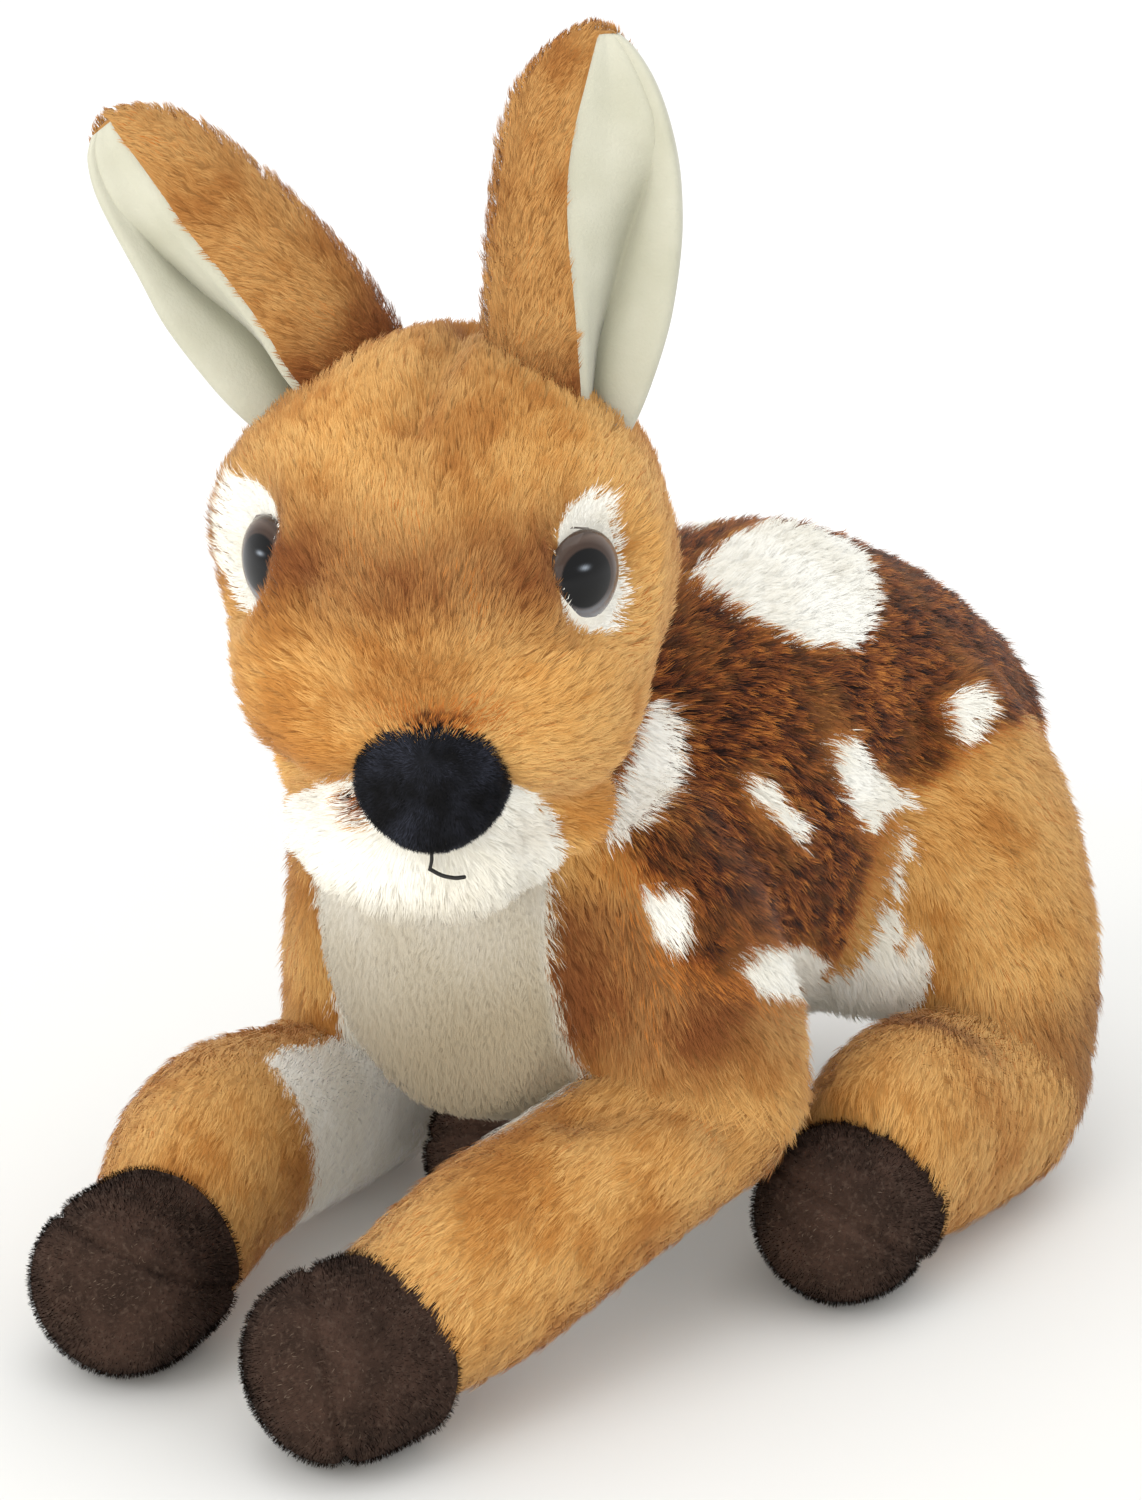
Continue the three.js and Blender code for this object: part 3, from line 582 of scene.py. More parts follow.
def strand_object():
    """One fibre as a bent kite: reach runs from root to tip, across from side to side."""
    made = mesh_object("strand", [(0, 0, 0), (-0.5, 0, 0.5), (0.5, 0, 0.5), (0, 0, 1)], STRAND_FACES)
    write(made, "reach", [0.0, 0.5, 0.5, 1.0])
    write(made, "across", [0.0, -1.0, 1.0, 0.0])
    return made


def pile_tree():
    graph, given, end = new_group("pile", "GeometryNodeTree", [
        ("Skin", "Geometry", ()), ("Strand", "Object", ()), ("Density", "Float", 4e6),
        ("Tuft Density", "Float", 3e5), ("Width", "Float", 3e-4), ("Rise", "Float", 0.45),
        ("Lean", "Float", 0.9), ("Tuft Spread", "Float", 0.16), ("Stray", "Float", 0.14),
        ("Gather", "Float", 0.4), ("Arch", "Float", 0.16), ("Seed", "Int", 1),
        ("Material", "Material", ()), ("Pile", "Geometry", None),
    ])

    def named(name, kind="FLOAT_VECTOR"):
        return graph.geometry("InputNamedAttribute", name, data_type=kind)

    def chance(low, high, seed, identity=None, kind="FLOAT"):
        seed = graph.plus(given["Seed"], seed)
        return graph.add("FunctionNodeRandomValue", low, high, identity, seed, data_type=kind)

    def scattered(density, seed):
        kind = "DistributePointsOnFaces"
        return graph.geometry(kind, given["Skin"], None, density, seed, distribute_method="RANDOM")

    def store(points, name, value, kind="FLOAT_VECTOR"):
        kinds = {"data_type": kind, "domain": "POINT"}
        return graph.geometry("StoreNamedAttribute", points, None, name, value, **kinds)

    thick = graph.times(given["Density"], named("cover", "FLOAT"))
    points = scattered(thick, given["Seed"])
    tufts = scattered(given["Tuft Density"], graph.plus(given["Seed"], 1))
    place = graph.geometry("InputPosition")
    up, lay, length = named("up"), named("lay"), named("pile", "FLOAT")
    nearest = graph.geometry("SampleNearest", tufts, place, domain="POINT")
    kinds = {"data_type": "FLOAT_VECTOR", "domain": "POINT"}
    tuft_place = graph.geometry("SampleIndex", tufts, place, nearest, **kinds)
    tuft_turn = chance((-1, -1, -1), (1, 1, 1), 2, nearest, "FLOAT_VECTOR")
    drift = graph.vector("SUBTRACT", noise(graph, place, 90.0, 1.0, out=1), (0.5, 0.5, 0.5))
    drift = graph.vector("SUBTRACT", drift, graph.scale(up, graph.vector("DOT_PRODUCT", drift, up)))
    leaning = graph.sum(
        graph.scale(up, given["Rise"]), graph.scale(lay, given["Lean"]),
        graph.scale(drift, 0.9), graph.scale(tuft_turn, given["Tuft Spread"]),
    )
    tuft_way = graph.way(leaning)
    own_turn = chance((-1, -1, -1), (1, 1, 1), 3, None, "FLOAT_VECTOR")
    way = graph.way(graph.sum(tuft_way, graph.scale(own_turn, given["Stray"])))
    length = graph.times(length, chance(0.72, 1.12, 4))
    own_tip = graph.sum(place, graph.scale(way, length))
    tuft_tip = graph.sum(tuft_place, graph.scale(tuft_way, graph.times(length, 1.05)))
    gather = graph.times(given["Gather"], chance(0.3, 1.3, 5))
    tip = graph.mix(gather, own_tip, tuft_tip, "VECTOR")
    span = graph.vector("SUBTRACT", tip, place)
    middle = graph.sum(place, graph.scale(span, 0.5), graph.scale(up, graph.times(length, given["Arch"])))
    root = graph.vector("SUBTRACT", place, graph.scale(up, 0.0008))
    flat = graph.way(graph.vector("CROSS_PRODUCT", span, graph.sum(up, graph.scale(own_turn, 0.2))))
    edge_on = graph.way(graph.vector("CROSS_PRODUCT", span, flat))
    roll = chance(-0.5, 0.5, 6)
    sideways = graph.sum(
        graph.scale(flat, graph.math("COSINE", roll)), graph.scale(edge_on, graph.math("SINE", roll)),
    )
    half = graph.times(given["Width"], chance(0.35, 0.65, 7))
    sideways = graph.scale(sideways, half)
    for name, value in (("root", root), ("middle", middle), ("tip", tip), ("sideways", sideways)):
        points = store(points, name, value)
    points = store(points, "tone", chance(0.0, 1.0, 8), "FLOAT")
    points = store(points, "tuft", chance(0.0, 1.0, 9, nearest), "FLOAT")
    fibre = graph.geometry("ObjectInfo", given["Strand"], False, out=4, transform_space="ORIGINAL")
    strands = graph.geometry("InstanceOnPoints", points, None, fibre)
    strands = graph.geometry("RealizeInstances", strands)
    reach, across = named("reach", "FLOAT"), named("across", "FLOAT")
    rest = graph.minus(1.0, reach)
    doubled = graph.minus(graph.times(reach, 2.0), 1.0)
    shape = graph.sum(
        graph.scale(named("root"), graph.times(rest, graph.times(doubled, -1.0))),
        graph.scale(named("middle"), graph.times(graph.times(reach, rest), 4.0)),
        graph.scale(named("tip"), graph.times(reach, doubled)),
        graph.scale(named("sideways"), across),
    )
    x, y, z = (graph.add("ShaderNodeSeparateXYZ", shape, out=i) for i in range(3))
    shape = graph.add("ShaderNodeCombineXYZ", x, y, graph.math("MAXIMUM", z, 0.0002))
    strands = graph.geometry("SetPosition", strands, None, shape)
    round_off = graph.scale(graph.way(named("sideways")), graph.times(across, 0.15))
    shade = graph.way(graph.sum(named("up"), round_off))
    strands = graph.geometry("SetMeshNormal", strands, shade, mode="FREE", domain="POINT")
    for name in ("middle", "tip", "sideways", "across", "up", "lay", "pile", "cover"):
        strands = graph.geometry("RemoveAttribute", strands, name)
    strands = graph.geometry("SetMaterial", strands, None, given["Material"])
    graph.join(end.inputs[0], strands)
    return graph.tree


STRAND = strand_object()
PILE_TREE = pile_tree()
MOST_STRANDS = 98000


def grow(name, skin, body, material, slot, seed, density, mask=None, **values):
    """Grows a pile on a skin, or on the part that a mask keeps. Densities are per square millimetre."""
    part = linked(name, skin.data.copy())
    shape = bmesh.new()
    shape.from_mesh(part.data)
    shape.verts.ensure_lookup_table()
    if mask is not None:
        drop = [f for f in shape.faces if not all(mask[v.index] for v in f.verts)]
        bmesh.ops.delete(shape, geom=drop, context="FACES")
    cover = shape.verts.layers.float.get("cover")
    area = sum(f.calc_area() * sum(v[cover] for v in f.verts) / len(f.verts) for f in shape.faces)
    shape.to_mesh(part.data)
    shape.free()
    wanted = density * 1e6 * 1.0
    wanted = min(wanted, MOST_STRANDS / max(area, 1e-9))
    modifier = part.modifiers.new("pile", "NODES")
    modifier.node_group = PILE_TREE
    items = PILE_TREE.interface.items_tree
    sockets = {item.name: item.identifier for item in items if item.in_out == "INPUT"}
    given = {"Strand": STRAND, "Density": wanted, "Material": material, "Seed": seed, **values}
    for label, value in given.items():
        modifier[sockets[label]] = value
    settled(part)
    bake_cells(part)
    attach(part, body)


def bake_cells(part):
    """Gives each fibre its own cell of the piece's map, in the order in which they grow."""
    mesh = part.data
    corners = np.zeros(len(mesh.loops), np.int32)
    mesh.loops.foreach_get("vertex_index", corners)
    strand, corner = corners // 4, corners % 4
    side = max(1, math.ceil(math.sqrt(len(mesh.vertices) / 4)))
    across = np.array([0.5, 0.1, 0.9, 0.5])[corner]
    along = np.array([0.1, 0.5, 0.5, 0.9])[corner]
    place = np.stack([(strand % side + across) / side, (strand // side + along) / side], 1)
    layer = mesh.uv_layers.new(name="OFBake")
    layer.uv.foreach_set("vector", place.astype(np.float32).ravel())


def combed(points, guides, reach=18.0):
    """The way that the pile lies at each point, from guides of (place, way)."""
    places = np.array([g[0] for g in guides], float)
    ways = unit([g[1] for g in guides])
    away = np.linalg.norm(points[:, None] - places[None], axis=2)
    weight = 1 / (away ** 2 + reach ** 2) ** 1.5
    return (weight[:, :, None] * ways[None]).sum(1)


# What the bare cloth between the fibres is dyed by; its reach of 0.4 gives it the painted shade of the
# fibres' roots.
BARE_CLOTH = {"reach": 0.4, "tone": 0.35, "tuft": 0.3, "saddle": 0.0, "cream": 0.0, "brow": 0.0}


def dressed(skin, ways, pile, hidden=(), **dyes):
    """Writes on a skin what its pile needs: how it lies, how long it is, where it grows, and its dyes and
    painted shade.
    """
    points, normals = points_of(skin), normals_of(skin)
    ways = ways - normals * (ways * normals).sum(1, keepdims=True)
    cover = np.ones(len(points))
    for tree, depth in hidden:
        cover *= depth_in(points, tree) < depth
    write(skin, "up", normals, "FLOAT_VECTOR")
    write(skin, "lay", unit(ways), "FLOAT_VECTOR")
    write(skin, "pile", np.broadcast_to(np.asarray(pile, float) * MM, len(points)))
    write(skin, "cover", cover)
    write(skin, "root", points * MM, "FLOAT_VECTOR")
    for name, value in {**BARE_CLOTH, **dyes}.items():
        write(skin, name, np.broadcast_to(value, len(points)))


def patch(points, normals, outline, edge=2.5, reach=22.0):
    """How far each point lies in a flat outline laid on the cloth, from 0 to 1 over a soft edge."""
    outline = np.asarray(outline, float)
    centre = outline.mean(0)
    axes = np.linalg.svd(outline - centre)[2]
    flat, corner = (points - centre) @ axes[:2].T, (outline - centre) @ axes[:2].T
    inside = np.zeros(len(points), bool)
    away = np.full(len(points), np.inf)
    for a, b in zip(corner, np.roll(corner, -1, 0)):
        crosses = (a[1] > flat[:, 1]) != (b[1] > flat[:, 1])
        at = a[0] + (flat[:, 1] - a[1]) / (b[1] - a[1] if b[1] != a[1] else 1e-9) * (b[0] - a[0])
        inside ^= crosses & (flat[:, 0] < at)
        share = np.clip(((flat - a) @ (b - a)) / max((b - a) @ (b - a), 1e-9), 0, 1)
        away = np.minimum(away, np.linalg.norm(flat - a - share[:, None] * (b - a), axis=1))
    outwards = axes[2] if (centre - points.mean(0)) @ axes[2] > 0 else -axes[2]
    near = (abs((points - centre) @ axes[2]) < reach) & (normals @ outwards > 0)
    return smoothstep(np.where(inside, away, -away), -edge, edge) * near


def mirrored(outline, back=0.0, rise=0.0):
    return [(2 * SPINE_X - x, y + back, z + rise) for x, y, z in outline]


def placed(obj, body, slot, material, *nodes, fill=None):
    """Gives a finished piece its material and body, and hides the nodes that it stands for; its slot and fill
    are not used.
    """
    obj.data.materials.clear()
    obj.data.materials.append(material)
    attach(obj, body)
    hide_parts(*nodes)


PILE = pile_material("pile_cloth")
# The pile's length on each form.
TORSO_PILE, BIB_PILE, LEG_PILE, TAIL_PILE, FACE_PILE, EAR_PILE, HOOF_NAP, NOSE_NAP = (
    5.6, 2.6, 5.2, 6.0, 4.4, 4.2, 1.4, 1.7
)
SKIN_FILL, HARD_FILL, LEAF_FILL = 0.8, 0.9, 0.3  # how full stuffed skins, firm pads and thin leaves are

# ---------------------------------------------------------------- torso

WHITE_SPOTS = [
    [
        (8.3, 3, 135), (20.5, 5, 130.3), (29, 15, 123.5), (31, 30, 121.1), (27, 41, 123.2), (13.6, 57, 127.9),
        (4, 56, 130.5), (-1, 43, 134), (2, 26, 134.3),
    ],
    [
        (22.4, -27, 124.7), (26.6, -24.6, 121.8), (31.6, -28.5, 116), (34.4, -36, 111), (36.2, -45, 108.7),
        (33.5, -52, 107.4), (29, -49, 109.3), (26.2, -40.4, 116.1), (23.7, -32.5, 121.5),
    ],
    [(39.5, -50.3, 96.4), (43.4, -44.5, 96.5), (46.3, -44.6, 90.2), (46, -47.8, 85), (42.5, -50.5, 89.1)],
    [
        (37, -14.5, 108.4), (38.2, -10.2, 107.1), (41, -7.3, 102.1), (42.5, -0.9, 95.3), (42.8, -2.9, 92.8),
        (41, -10.7, 100), (38.3, -15.2, 105.9),
    ],
    [
        (39.3, 10.1, 108.1), (39.1, 17.2, 108.1), (42.1, 21.9, 100.1), (43.4, 33.9, 90.4), (43.6, 23.6, 90.4),
        (44.1, 19.5, 87.4), (43.2, 13.5, 93.3), (42.2, 10.4, 100.3),
    ],
    [(42.5, 47.8, 106.7), (43.7, 57, 107.6), (46.2, 59, 104.4), (47.2, 50.1, 100.6), (46.4, 44.9, 99.8)],
    [
        (53, -36, 78.5), (51.8, -26.9, 79.7), (46, -10, 73), (40.1, 5, 67.4), (37, 17, 60), (34, 17, 53),
        (42, -5, 61), (54.8, -30.9, 72.5),
    ],
]
FAR_SPOTS = [
    [(-2, 64, 126), (-14, 66, 122), (-16, 84, 110), (-8, 96, 100), (2, 86, 112)],
    [(-7, 28, 135), (-18, 32, 130), (-24, 48, 126), (-18, 58, 124), (-8, 50, 132)],
]
# The brown saddle's edge and the hip seam in side view, as (y, z).
SADDLE_SIDE = [
    (-62, 112), (-50, 106), (-49, 100), (-47, 80), (-38, 75), (-10, 64), (14, 54), (19, 60), (20, 72),
    (21, 80), (26, 89), (40, 94.5), (54, 99), (75, 97), (96, 84), (116, 84), (118, 150), (-62, 150),
]
HIP_SEAM = [(29.6, 89.7), (39, 93.3), (46.3, 97.9), (58, 99), (75, 97), (96, 84)]
FLANK = [
    (44, 27.8, 88), (44, 31.7, 82.6), (45, 37, 66.7), (49.8, 37.6, 54.9), (52.9, 37, 47), (41, 40, 37),
    (20, 44, 36), (15, 30, 36), (32, 22, 48), (38, 26, 62), (43, 24, 78.3),
]
BIB_HALVES = [(30, 14), (42, 24), (60, 29), (75, 30), (90, 28), (105, 24), (130, 20)]


def saddle_share(points, edge=4.0):
    """The brown saddle, drawn in side view and laid on both flanks."""
    flat = np.stack([np.zeros(len(points)), points[:, 1], points[:, 2]], 1)
    outline = [(0.0, y, z) for y, z in SADDLE_SIDE]
    away_ways = np.tile([1.0, 0, 0], (len(points), 1))
    first = patch(flat, away_ways, outline, edge, 1e9)
    second = patch(flat, -away_ways, outline, edge, 1e9)
    return np.maximum(first, second)


def both_sides(guides):
    return guides + [((2 * SPINE_X - p[0], p[1], p[2]), (-w[0], w[1], w[2])) for p, w in guides]


TORSO_COMBING = both_sides([
    ((0, -68, 90), (0, -0.3, -1)), ((0, -50, 125), (0, -0.2, -1)), ((0, -20, 130), (0, 1, 0.1)),
    ((0, 30, 137), (0, 1, 0)), ((0, 80, 120), (0, 1, -0.5)), ((0, 112, 80), (0, 0.3, -1)),
    ((44, -10, 95), (0.1, 0.7, -0.7)), ((44, 30, 90), (0.1, 0.8, -0.6)), ((42, 75, 85), (0, 0.5, -0.8)),
    ((30, 0, 45), (-0.3, 0.6, -0.4)), ((0, 20, 36), (0, 1, 0)), ((38, -50, 95), (0.3, 0.3, -1)),
    ((60, 62, 80), (0.1, 0.3, -1)), ((66, 60, 45), (0, 0.1, -1)), ((50, 82, 50), (0, 0.2, -1)),
]) + [
    ((50, -48, 75), (0.3, 0.3, -1)), ((58, -30, 55), (0.1, 0.2, -1)), ((-58, -30, 60), (-0.2, 0.3, -1)),
    ((-66, -15, 35), (-0.1, 0.1, -1)),
]

ELBOW_CREASE = [(36, -64, 54), (44, -55.9, 55.8), (48.9, -49.8, 55), (53.8, -46.1, 52.1), (57.3, -41.1, 46.5)]
KNEE_CREASE = [(52, 24, 47), (62, 30, 44), (70, 38, 41), (74, 47, 38)]
WRIST_CREASE = [
    (42.4, -105.2, 31.4), (44.4, -98.8, 33.6), (46, -91.9, 36.1), (45.7, -87.1, 40.7), (43.5, -82.2, 45.3),
]


CREASE_WIDTH, WRIST_WIDTH = 4.0, 3.0
CREASE_DEPTH, WRIST_DEPTH = 2.5, 2.4


def elbow_shade(points):
    return 0.9 * fading(off_line(points, ELBOW_CREASE), CREASE_WIDTH)


def knee_shade(points):
    return 0.8 * fading(off_line(points, KNEE_CREASE), CREASE_WIDTH)


def limb(stations, domes):
    return loft(stations, domes, (0, -1, 0))


NECK_BURIED, TORSO_BURIED, LEG_BURIED = 6.0, 3.6, 4.6  # how deep in the next form a pile still grows
torso_parts = {
    "torso": [loft(TORSO, (0.42, 0.62)), *[ball(place, BELLY_RADIUS) for place in BELLY]],
    "neck": [loft(NECK, (0.2, 0.6), (0, 1, 0))],
    **{f"shoulder_{s}": [limb(SHOULDERS[s], (0.7, 0.6)), ball(FORELEGS[s][0][:3], 19.0)] for s in SIDES},
    **{f"thigh_{s}": [limb(THIGHS[s], (0.6, 0.7)), ball(SHANKS[s][0][:3], 20.5)] for s in SIDES},
}
torso = sewn("torso_skin", sum(torso_parts.values(), []), 2.2, 6)
creased(torso, ELBOW_CREASE, CREASE_WIDTH, CREASE_DEPTH)
on_floor(torso)
head_parts = [loft(HEAD, (0.5, 0.3)), loft(MUZZLE, (0.7, 0.8)), *[ball(*jowl) for jowl in JOWLS]]
head_tree = tree_of(*joined(head_parts))
leg_trees = {
    **{f"foreleg_{s}": tree_of(*loft(FORELEGS[s], LEG_DOMES)) for s in SIDES},
    **{f"shank_{s}": tree_of(*loft(SHANKS[s], LEG_DOMES)) for s in SIDES},
}

points, normals = points_of(torso), normals_of(torso)
nearest = np.stack([
    -depth_in(points, tree_of(*joined(parts))) for parts in torso_parts.values()
], 1)
region = np.array(list(torso_parts))[abs(nearest + PILE_ROOM).argmin(1)]
saddle = saddle_share(points)
x, y, z = points.T
on_thigh = np.char.startswith(region, "thigh")
seam = np.interp(y, *np.transpose(HIP_SEAM))
saddle = np.where(on_thigh, smoothstep(z - seam, -2, 1.5), saddle)
saddle *= 1 - smoothstep(-16 - x, 0, 6) * smoothstep(-44 - y, 0, 6) * smoothstep(124 - z, 0, 8)
cream = np.zeros(len(points))
for spot in WHITE_SPOTS + FAR_SPOTS + [mirrored(spot, 6.0, 2.0) for spot in WHITE_SPOTS[1:]]:
    cream = np.maximum(cream, patch(points, normals, spot, 1.4))
    saddle = np.minimum(saddle, 1 - 0.5 * patch(points, normals, spot, 5.5))
spotted = cream.copy()
belly = smoothstep(62 - z - 0.012 * (abs(x - SPINE_X) ** 1.6), 0, 8) * (region == "torso")
flank = np.max([patch(points, normals, line, 2.0, 40.0) for line in (FLANK, mirrored(FLANK))], axis=0)
flank *= ~on_thigh
bib_half = np.interp(z, *np.transpose(BIB_HALVES)) + np.where(x < SPINE_X, 12, -1.5)
bib = smoothstep(bib_half - abs(x - SPINE_X), -1.5, 1.5)
bib *= smoothstep(-45 - y, 0, 4) * smoothstep(140 - z, 0, 5)
bib *= smoothstep(-normals[:, 1], 0.05, 0.3) * np.isin(region, ("torso", "neck", "shoulder_right"))
inner = smoothstep(normals[:, 0] * np.where(x > 0, -1, 1), 0.25, 0.6) * smoothstep(62 - z, 0, 6)
inner *= np.char.startswith(region, "shoulder") | np.char.startswith(region, "thigh")
cream = np.max([cream, belly, bib, inner, flank], axis=0)
# The bib darkens towards warm beige lower down and on its left side: partly the bib's own colour, partly
# painted shade.
bib_beige_and_shade = bib * np.clip(0.32 + 0.68 * smoothstep(114 - z, 0, 60) + 0.006 * (x - SPINE_X), 0, 1)
# Painted shade through the brow input: the shoulders' fronts under the head, the lower thighs, the knee and
# elbow creases, weaker on the right; elsewhere a faint 0.15 brown dye, none on the white spots.
brow = smoothstep(z, 44, 72) * smoothstep(104 - z, 0, 14)
brow *= smoothstep(-6 - y, 0, 24) * smoothstep(66 - abs(x), 0, 18)
brow = np.maximum(0.95 * brow * ~on_thigh, 0.8 * on_thigh * smoothstep(60 - z, 0, 24))
brow = np.maximum(brow * (1 - 0.7 * smoothstep(-14 - x, 0, 8)), 0.15) * (1 - spotted)
brow = np.maximum(brow, knee_shade(points))
brow = np.maximum(brow, elbow_shade(points))
brow = np.where(bib > 0.5, bib_beige_and_shade, brow)
pile = TORSO_PILE - (TORSO_PILE - BIB_PILE) * bib
hidden = [(head_tree, NECK_BURIED), *((tree, TORSO_BURIED) for tree in leg_trees.values())]
dressed(torso, combed(points, TORSO_COMBING), pile, hidden, saddle=saddle, cream=cream, brow=brow)
placed(
    torso, "torso", "fur_saddle", PILE,
    "body", "bib", "shoulder_left", "shoulder_right", "thigh_left", "thigh_right", fill=SKIN_FILL,
)

left = x > SPINE_X
FUR = {"Width": 1.9e-4, "Stray": 0.18}
trunk = np.isin(region, ("torso", "neck"))
front = y < 10


def near(obj, mask):
    """A mask grown by one row of points, so that neighbouring pieces leave no bare line."""
    grown = mask.copy()
    edges = np.zeros(len(obj.data.edges) * 2, np.int32)
    obj.data.edges.foreach_get("vertices", edges)
    a, b = edges.reshape(-1, 2).T
    grown[a[mask[b]]] = True
    return grown


regions = {
    "back_pile_front_left": trunk & left & front, "back_pile_front_right": trunk & ~left & front,
    "back_pile_rear_left": trunk & left & ~front, "back_pile_rear_right": trunk & ~left & ~front,
    **{f"{n}_pile": region == n for n in torso_parts if "_" in n},
}
for i, (name, mask) in enumerate(regions.items()):
    slot = "fur_saddle" if name.startswith("back") else "fur_tan"
    dense = 4.6 if name.endswith("right") or name.startswith(("shoulder_right", "thigh_right")) else 5.8
    tufted = {"Gather": 0.5, "Tuft Spread": 0.22, "Tuft Density": 5e5} if name.startswith("back") else {}
    grow(name, torso, "torso", PILE, slot, 10 + 20 * i, dense, near(torso, mask), **FUR, **tufted)

# ---------------------------------------------------------------- legs and tail


def towards(points, start, end, down=0.0):
    way = unit(np.subtract(end, start))
    return np.tile(way + np.array([0, 0, -down]), (len(points), 1))


LEG_DENSITY = {"foreleg_left": 5.5, "foreleg_right": 5.4, "shank_left": 5.5, "shank_right": 4.2}
# How far each leg's pile lies downwards, next to its way along the leg.
DOWNWARD = {"foreleg_left": 0.25, "foreleg_right": 0.7, "shank_left": 1.3, "shank_right": 1.3}
LEGS = {f"{kind}_{s}": rows[s] for kind, rows in (("foreleg", FORELEGS), ("shank", SHANKS)) for s in SIDES}
for number, (name, rows) in enumerate(LEGS.items()):
    leg = sewn(f"{name}_skin", [loft(rows, LEG_DOMES)], 2.0, 4)
    if name == "foreleg_left":
        creased(leg, ELBOW_CREASE, CREASE_WIDTH, CREASE_DEPTH)
        creased(leg, WRIST_CREASE, WRIST_WIDTH, WRIST_DEPTH)
    on_floor(leg)
    p, n = points_of(leg), normals_of(leg)
    # Painted shade through the brow input in the left foreleg's elbow and wrist creases and at the left knee;
    # elsewhere a faint 0.15 brown dye, none on the white.
    brow = np.full(len(p), 0.15)
    if name == "foreleg_left":
        brow = np.maximum(0.15 + elbow_shade(p), 0.8 * fading(off_line(p, WRIST_CREASE), WRIST_WIDTH))
    elif name == "shank_left":
        brow = np.maximum(brow, knee_shade(p))
    ways = towards(p, rows[0][:3], rows[-1][:3], DOWNWARD[name])
    if name == "foreleg_right":
        white = smoothstep(n[:, 0], 0.1, 0.45) * smoothstep(p[:, 1], -72, -62)
    elif name.startswith("foreleg"):
        white = smoothstep(-n[:, 0], 0.3, 0.7) * smoothstep(p[:, 1], -80, -66)
    else:
        sign = 1 if name.endswith("left") else -1
        white = smoothstep(-sign * n[:, 0], 0.5, 0.8) * smoothstep(p[:, 1], 10, 26)
    upper = name.replace("foreleg", "shoulder").replace("shank", "thigh")
    buried = [(tree_of(*joined(torso_parts[upper])), LEG_BURIED)]
    dressed(leg, ways, LEG_PILE, buried, cream=white, brow=np.where(white > 0.3, 0.0, brow))
    placed(leg, name, "fur_tan", PILE, name, fill=SKIN_FILL)
    grow(f"{name}_pile", leg, name, PILE, "fur_tan", 300 + 20 * number, LEG_DENSITY[name], **FUR, Rise=0.22)

tail = sewn("tail_skin", [loft(TAIL, (1, 0.8))], 1.6, 3, 2.0)
p, n = points_of(tail), normals_of(tail)
facing = n[:, 1] + n[:, 2]
dressed(
    tail, towards(p, TAIL[0][:3], TAIL[-1][:3]), TAIL_PILE,
    cream=smoothstep(-facing, 0.2, 0.6), saddle=smoothstep(facing, 0.0, 0.5),
)
placed(tail, "tail", "fur_tan", PILE, "tail", fill=SKIN_FILL)
grow("tail_pile", tail, "tail", PILE, "fur_tan", 500, 5.0, **FUR)

# ---------------------------------------------------------------- hooves

FELT, FELT_LIGHT, FELT_RED, FELT_STRAY = dye("31251F"), dye("52433A"), dye("45342C"), dye("756558")
NAP = {"Width": 1.2e-4, "Rise": 0.7, "Lean": 0.5, "Stray": 0.7, "Gather": 0.1, "Arch": 0.1}


def felt_material():
    made, graph, shader = new_material("hoof_felt", Roughness=0.92, Specular_IOR_Level=0.08)
    place = on_object(graph)
    broad = noise(graph, place, 120.0, 4.0)
    fine = noise(graph, place, 900.0, 3.0)
    colour = graph.blend(graph.span(broad, 0.35, 0.65), FELT, FELT_RED)
    colour = graph.blend(graph.span(fine, 0.52, 0.72, 0.0, 0.8), colour, FELT_LIGHT)
    graph.join(shader.inputs["Base Color"], colour)
    bumped(graph, shader, fine, 0.6, 0.0006)
    return made


def nap_material():
    """Short matted fibres: most as dark as the felt, a few pale ones astray."""
    made, graph, shader = new_material("hoof_nap", Roughness=0.9, Specular_IOR_Level=0.1)
    tone = read(graph, "tone")
    colour = graph.blend(graph.span(tone, 0.0, 0.9), FELT, FELT_RED)
    colour = graph.blend(graph.span(tone, 0.94, 0.99), colour, FELT_STRAY)
    graph.join(shader.inputs["Base Color"], colour)
    return made


FELT_CLOTH, FELT_NAP = felt_material(), nap_material()
# The plane of each hoof's seam: (its normal, how far it lies from the middle).
HOOF_SEAMS = {
    "foreleg_left": ((0.73, 0.66, 0.19), -2.0), "foreleg_right": ((0.13, 0.5, 0.86), 6.5),
    "shank_left": ((0.25, 0.56, 0.79), 0.5), "shank_right": ((-0.25, 0.56, 0.79), 0.5),
}
SEAM_HALF_WIDTH, SEAM_DEPTH = 0.9, 1.5
for number, (name, rows) in enumerate(HOOVES.items()):
    hoof = sewn(f"{name}_hoof", [loft(rows, (0.12, 0.66))], 0.9, 6, 0.4)
    p, n = points_of(hoof), normals_of(hoof)
    axis = unit(np.subtract(rows[-1][:3], rows[0][:3]))
    seam_way, offset = HOOF_SEAMS[name]
    across = (p - np.array(rows[1][:3])) @ unit(seam_way) - offset
    sunk = fading(across, SEAM_HALF_WIDTH) * smoothstep((p - np.array(rows[0][:3])) @ axis, -4, 2)
    move_points(hoof, p - n * (SEAM_DEPTH * sunk)[:, None])
    on_floor(hoof, 0.2)
    dressed(hoof, np.tile(axis, (len(p), 1)), HOOF_NAP)
    write(hoof, "cover", 1 - 0.95 * sunk)
    placed(hoof, name, "felt", FELT_CLOTH, f"{name}_hoof_a", f"{name}_hoof_b", fill=HARD_FILL)
    grow(f"{name}_nap", hoof, name, FELT_NAP, "felt", 400 + 20 * number, 4.0, **NAP)

# ---------------------------------------------------------------- head

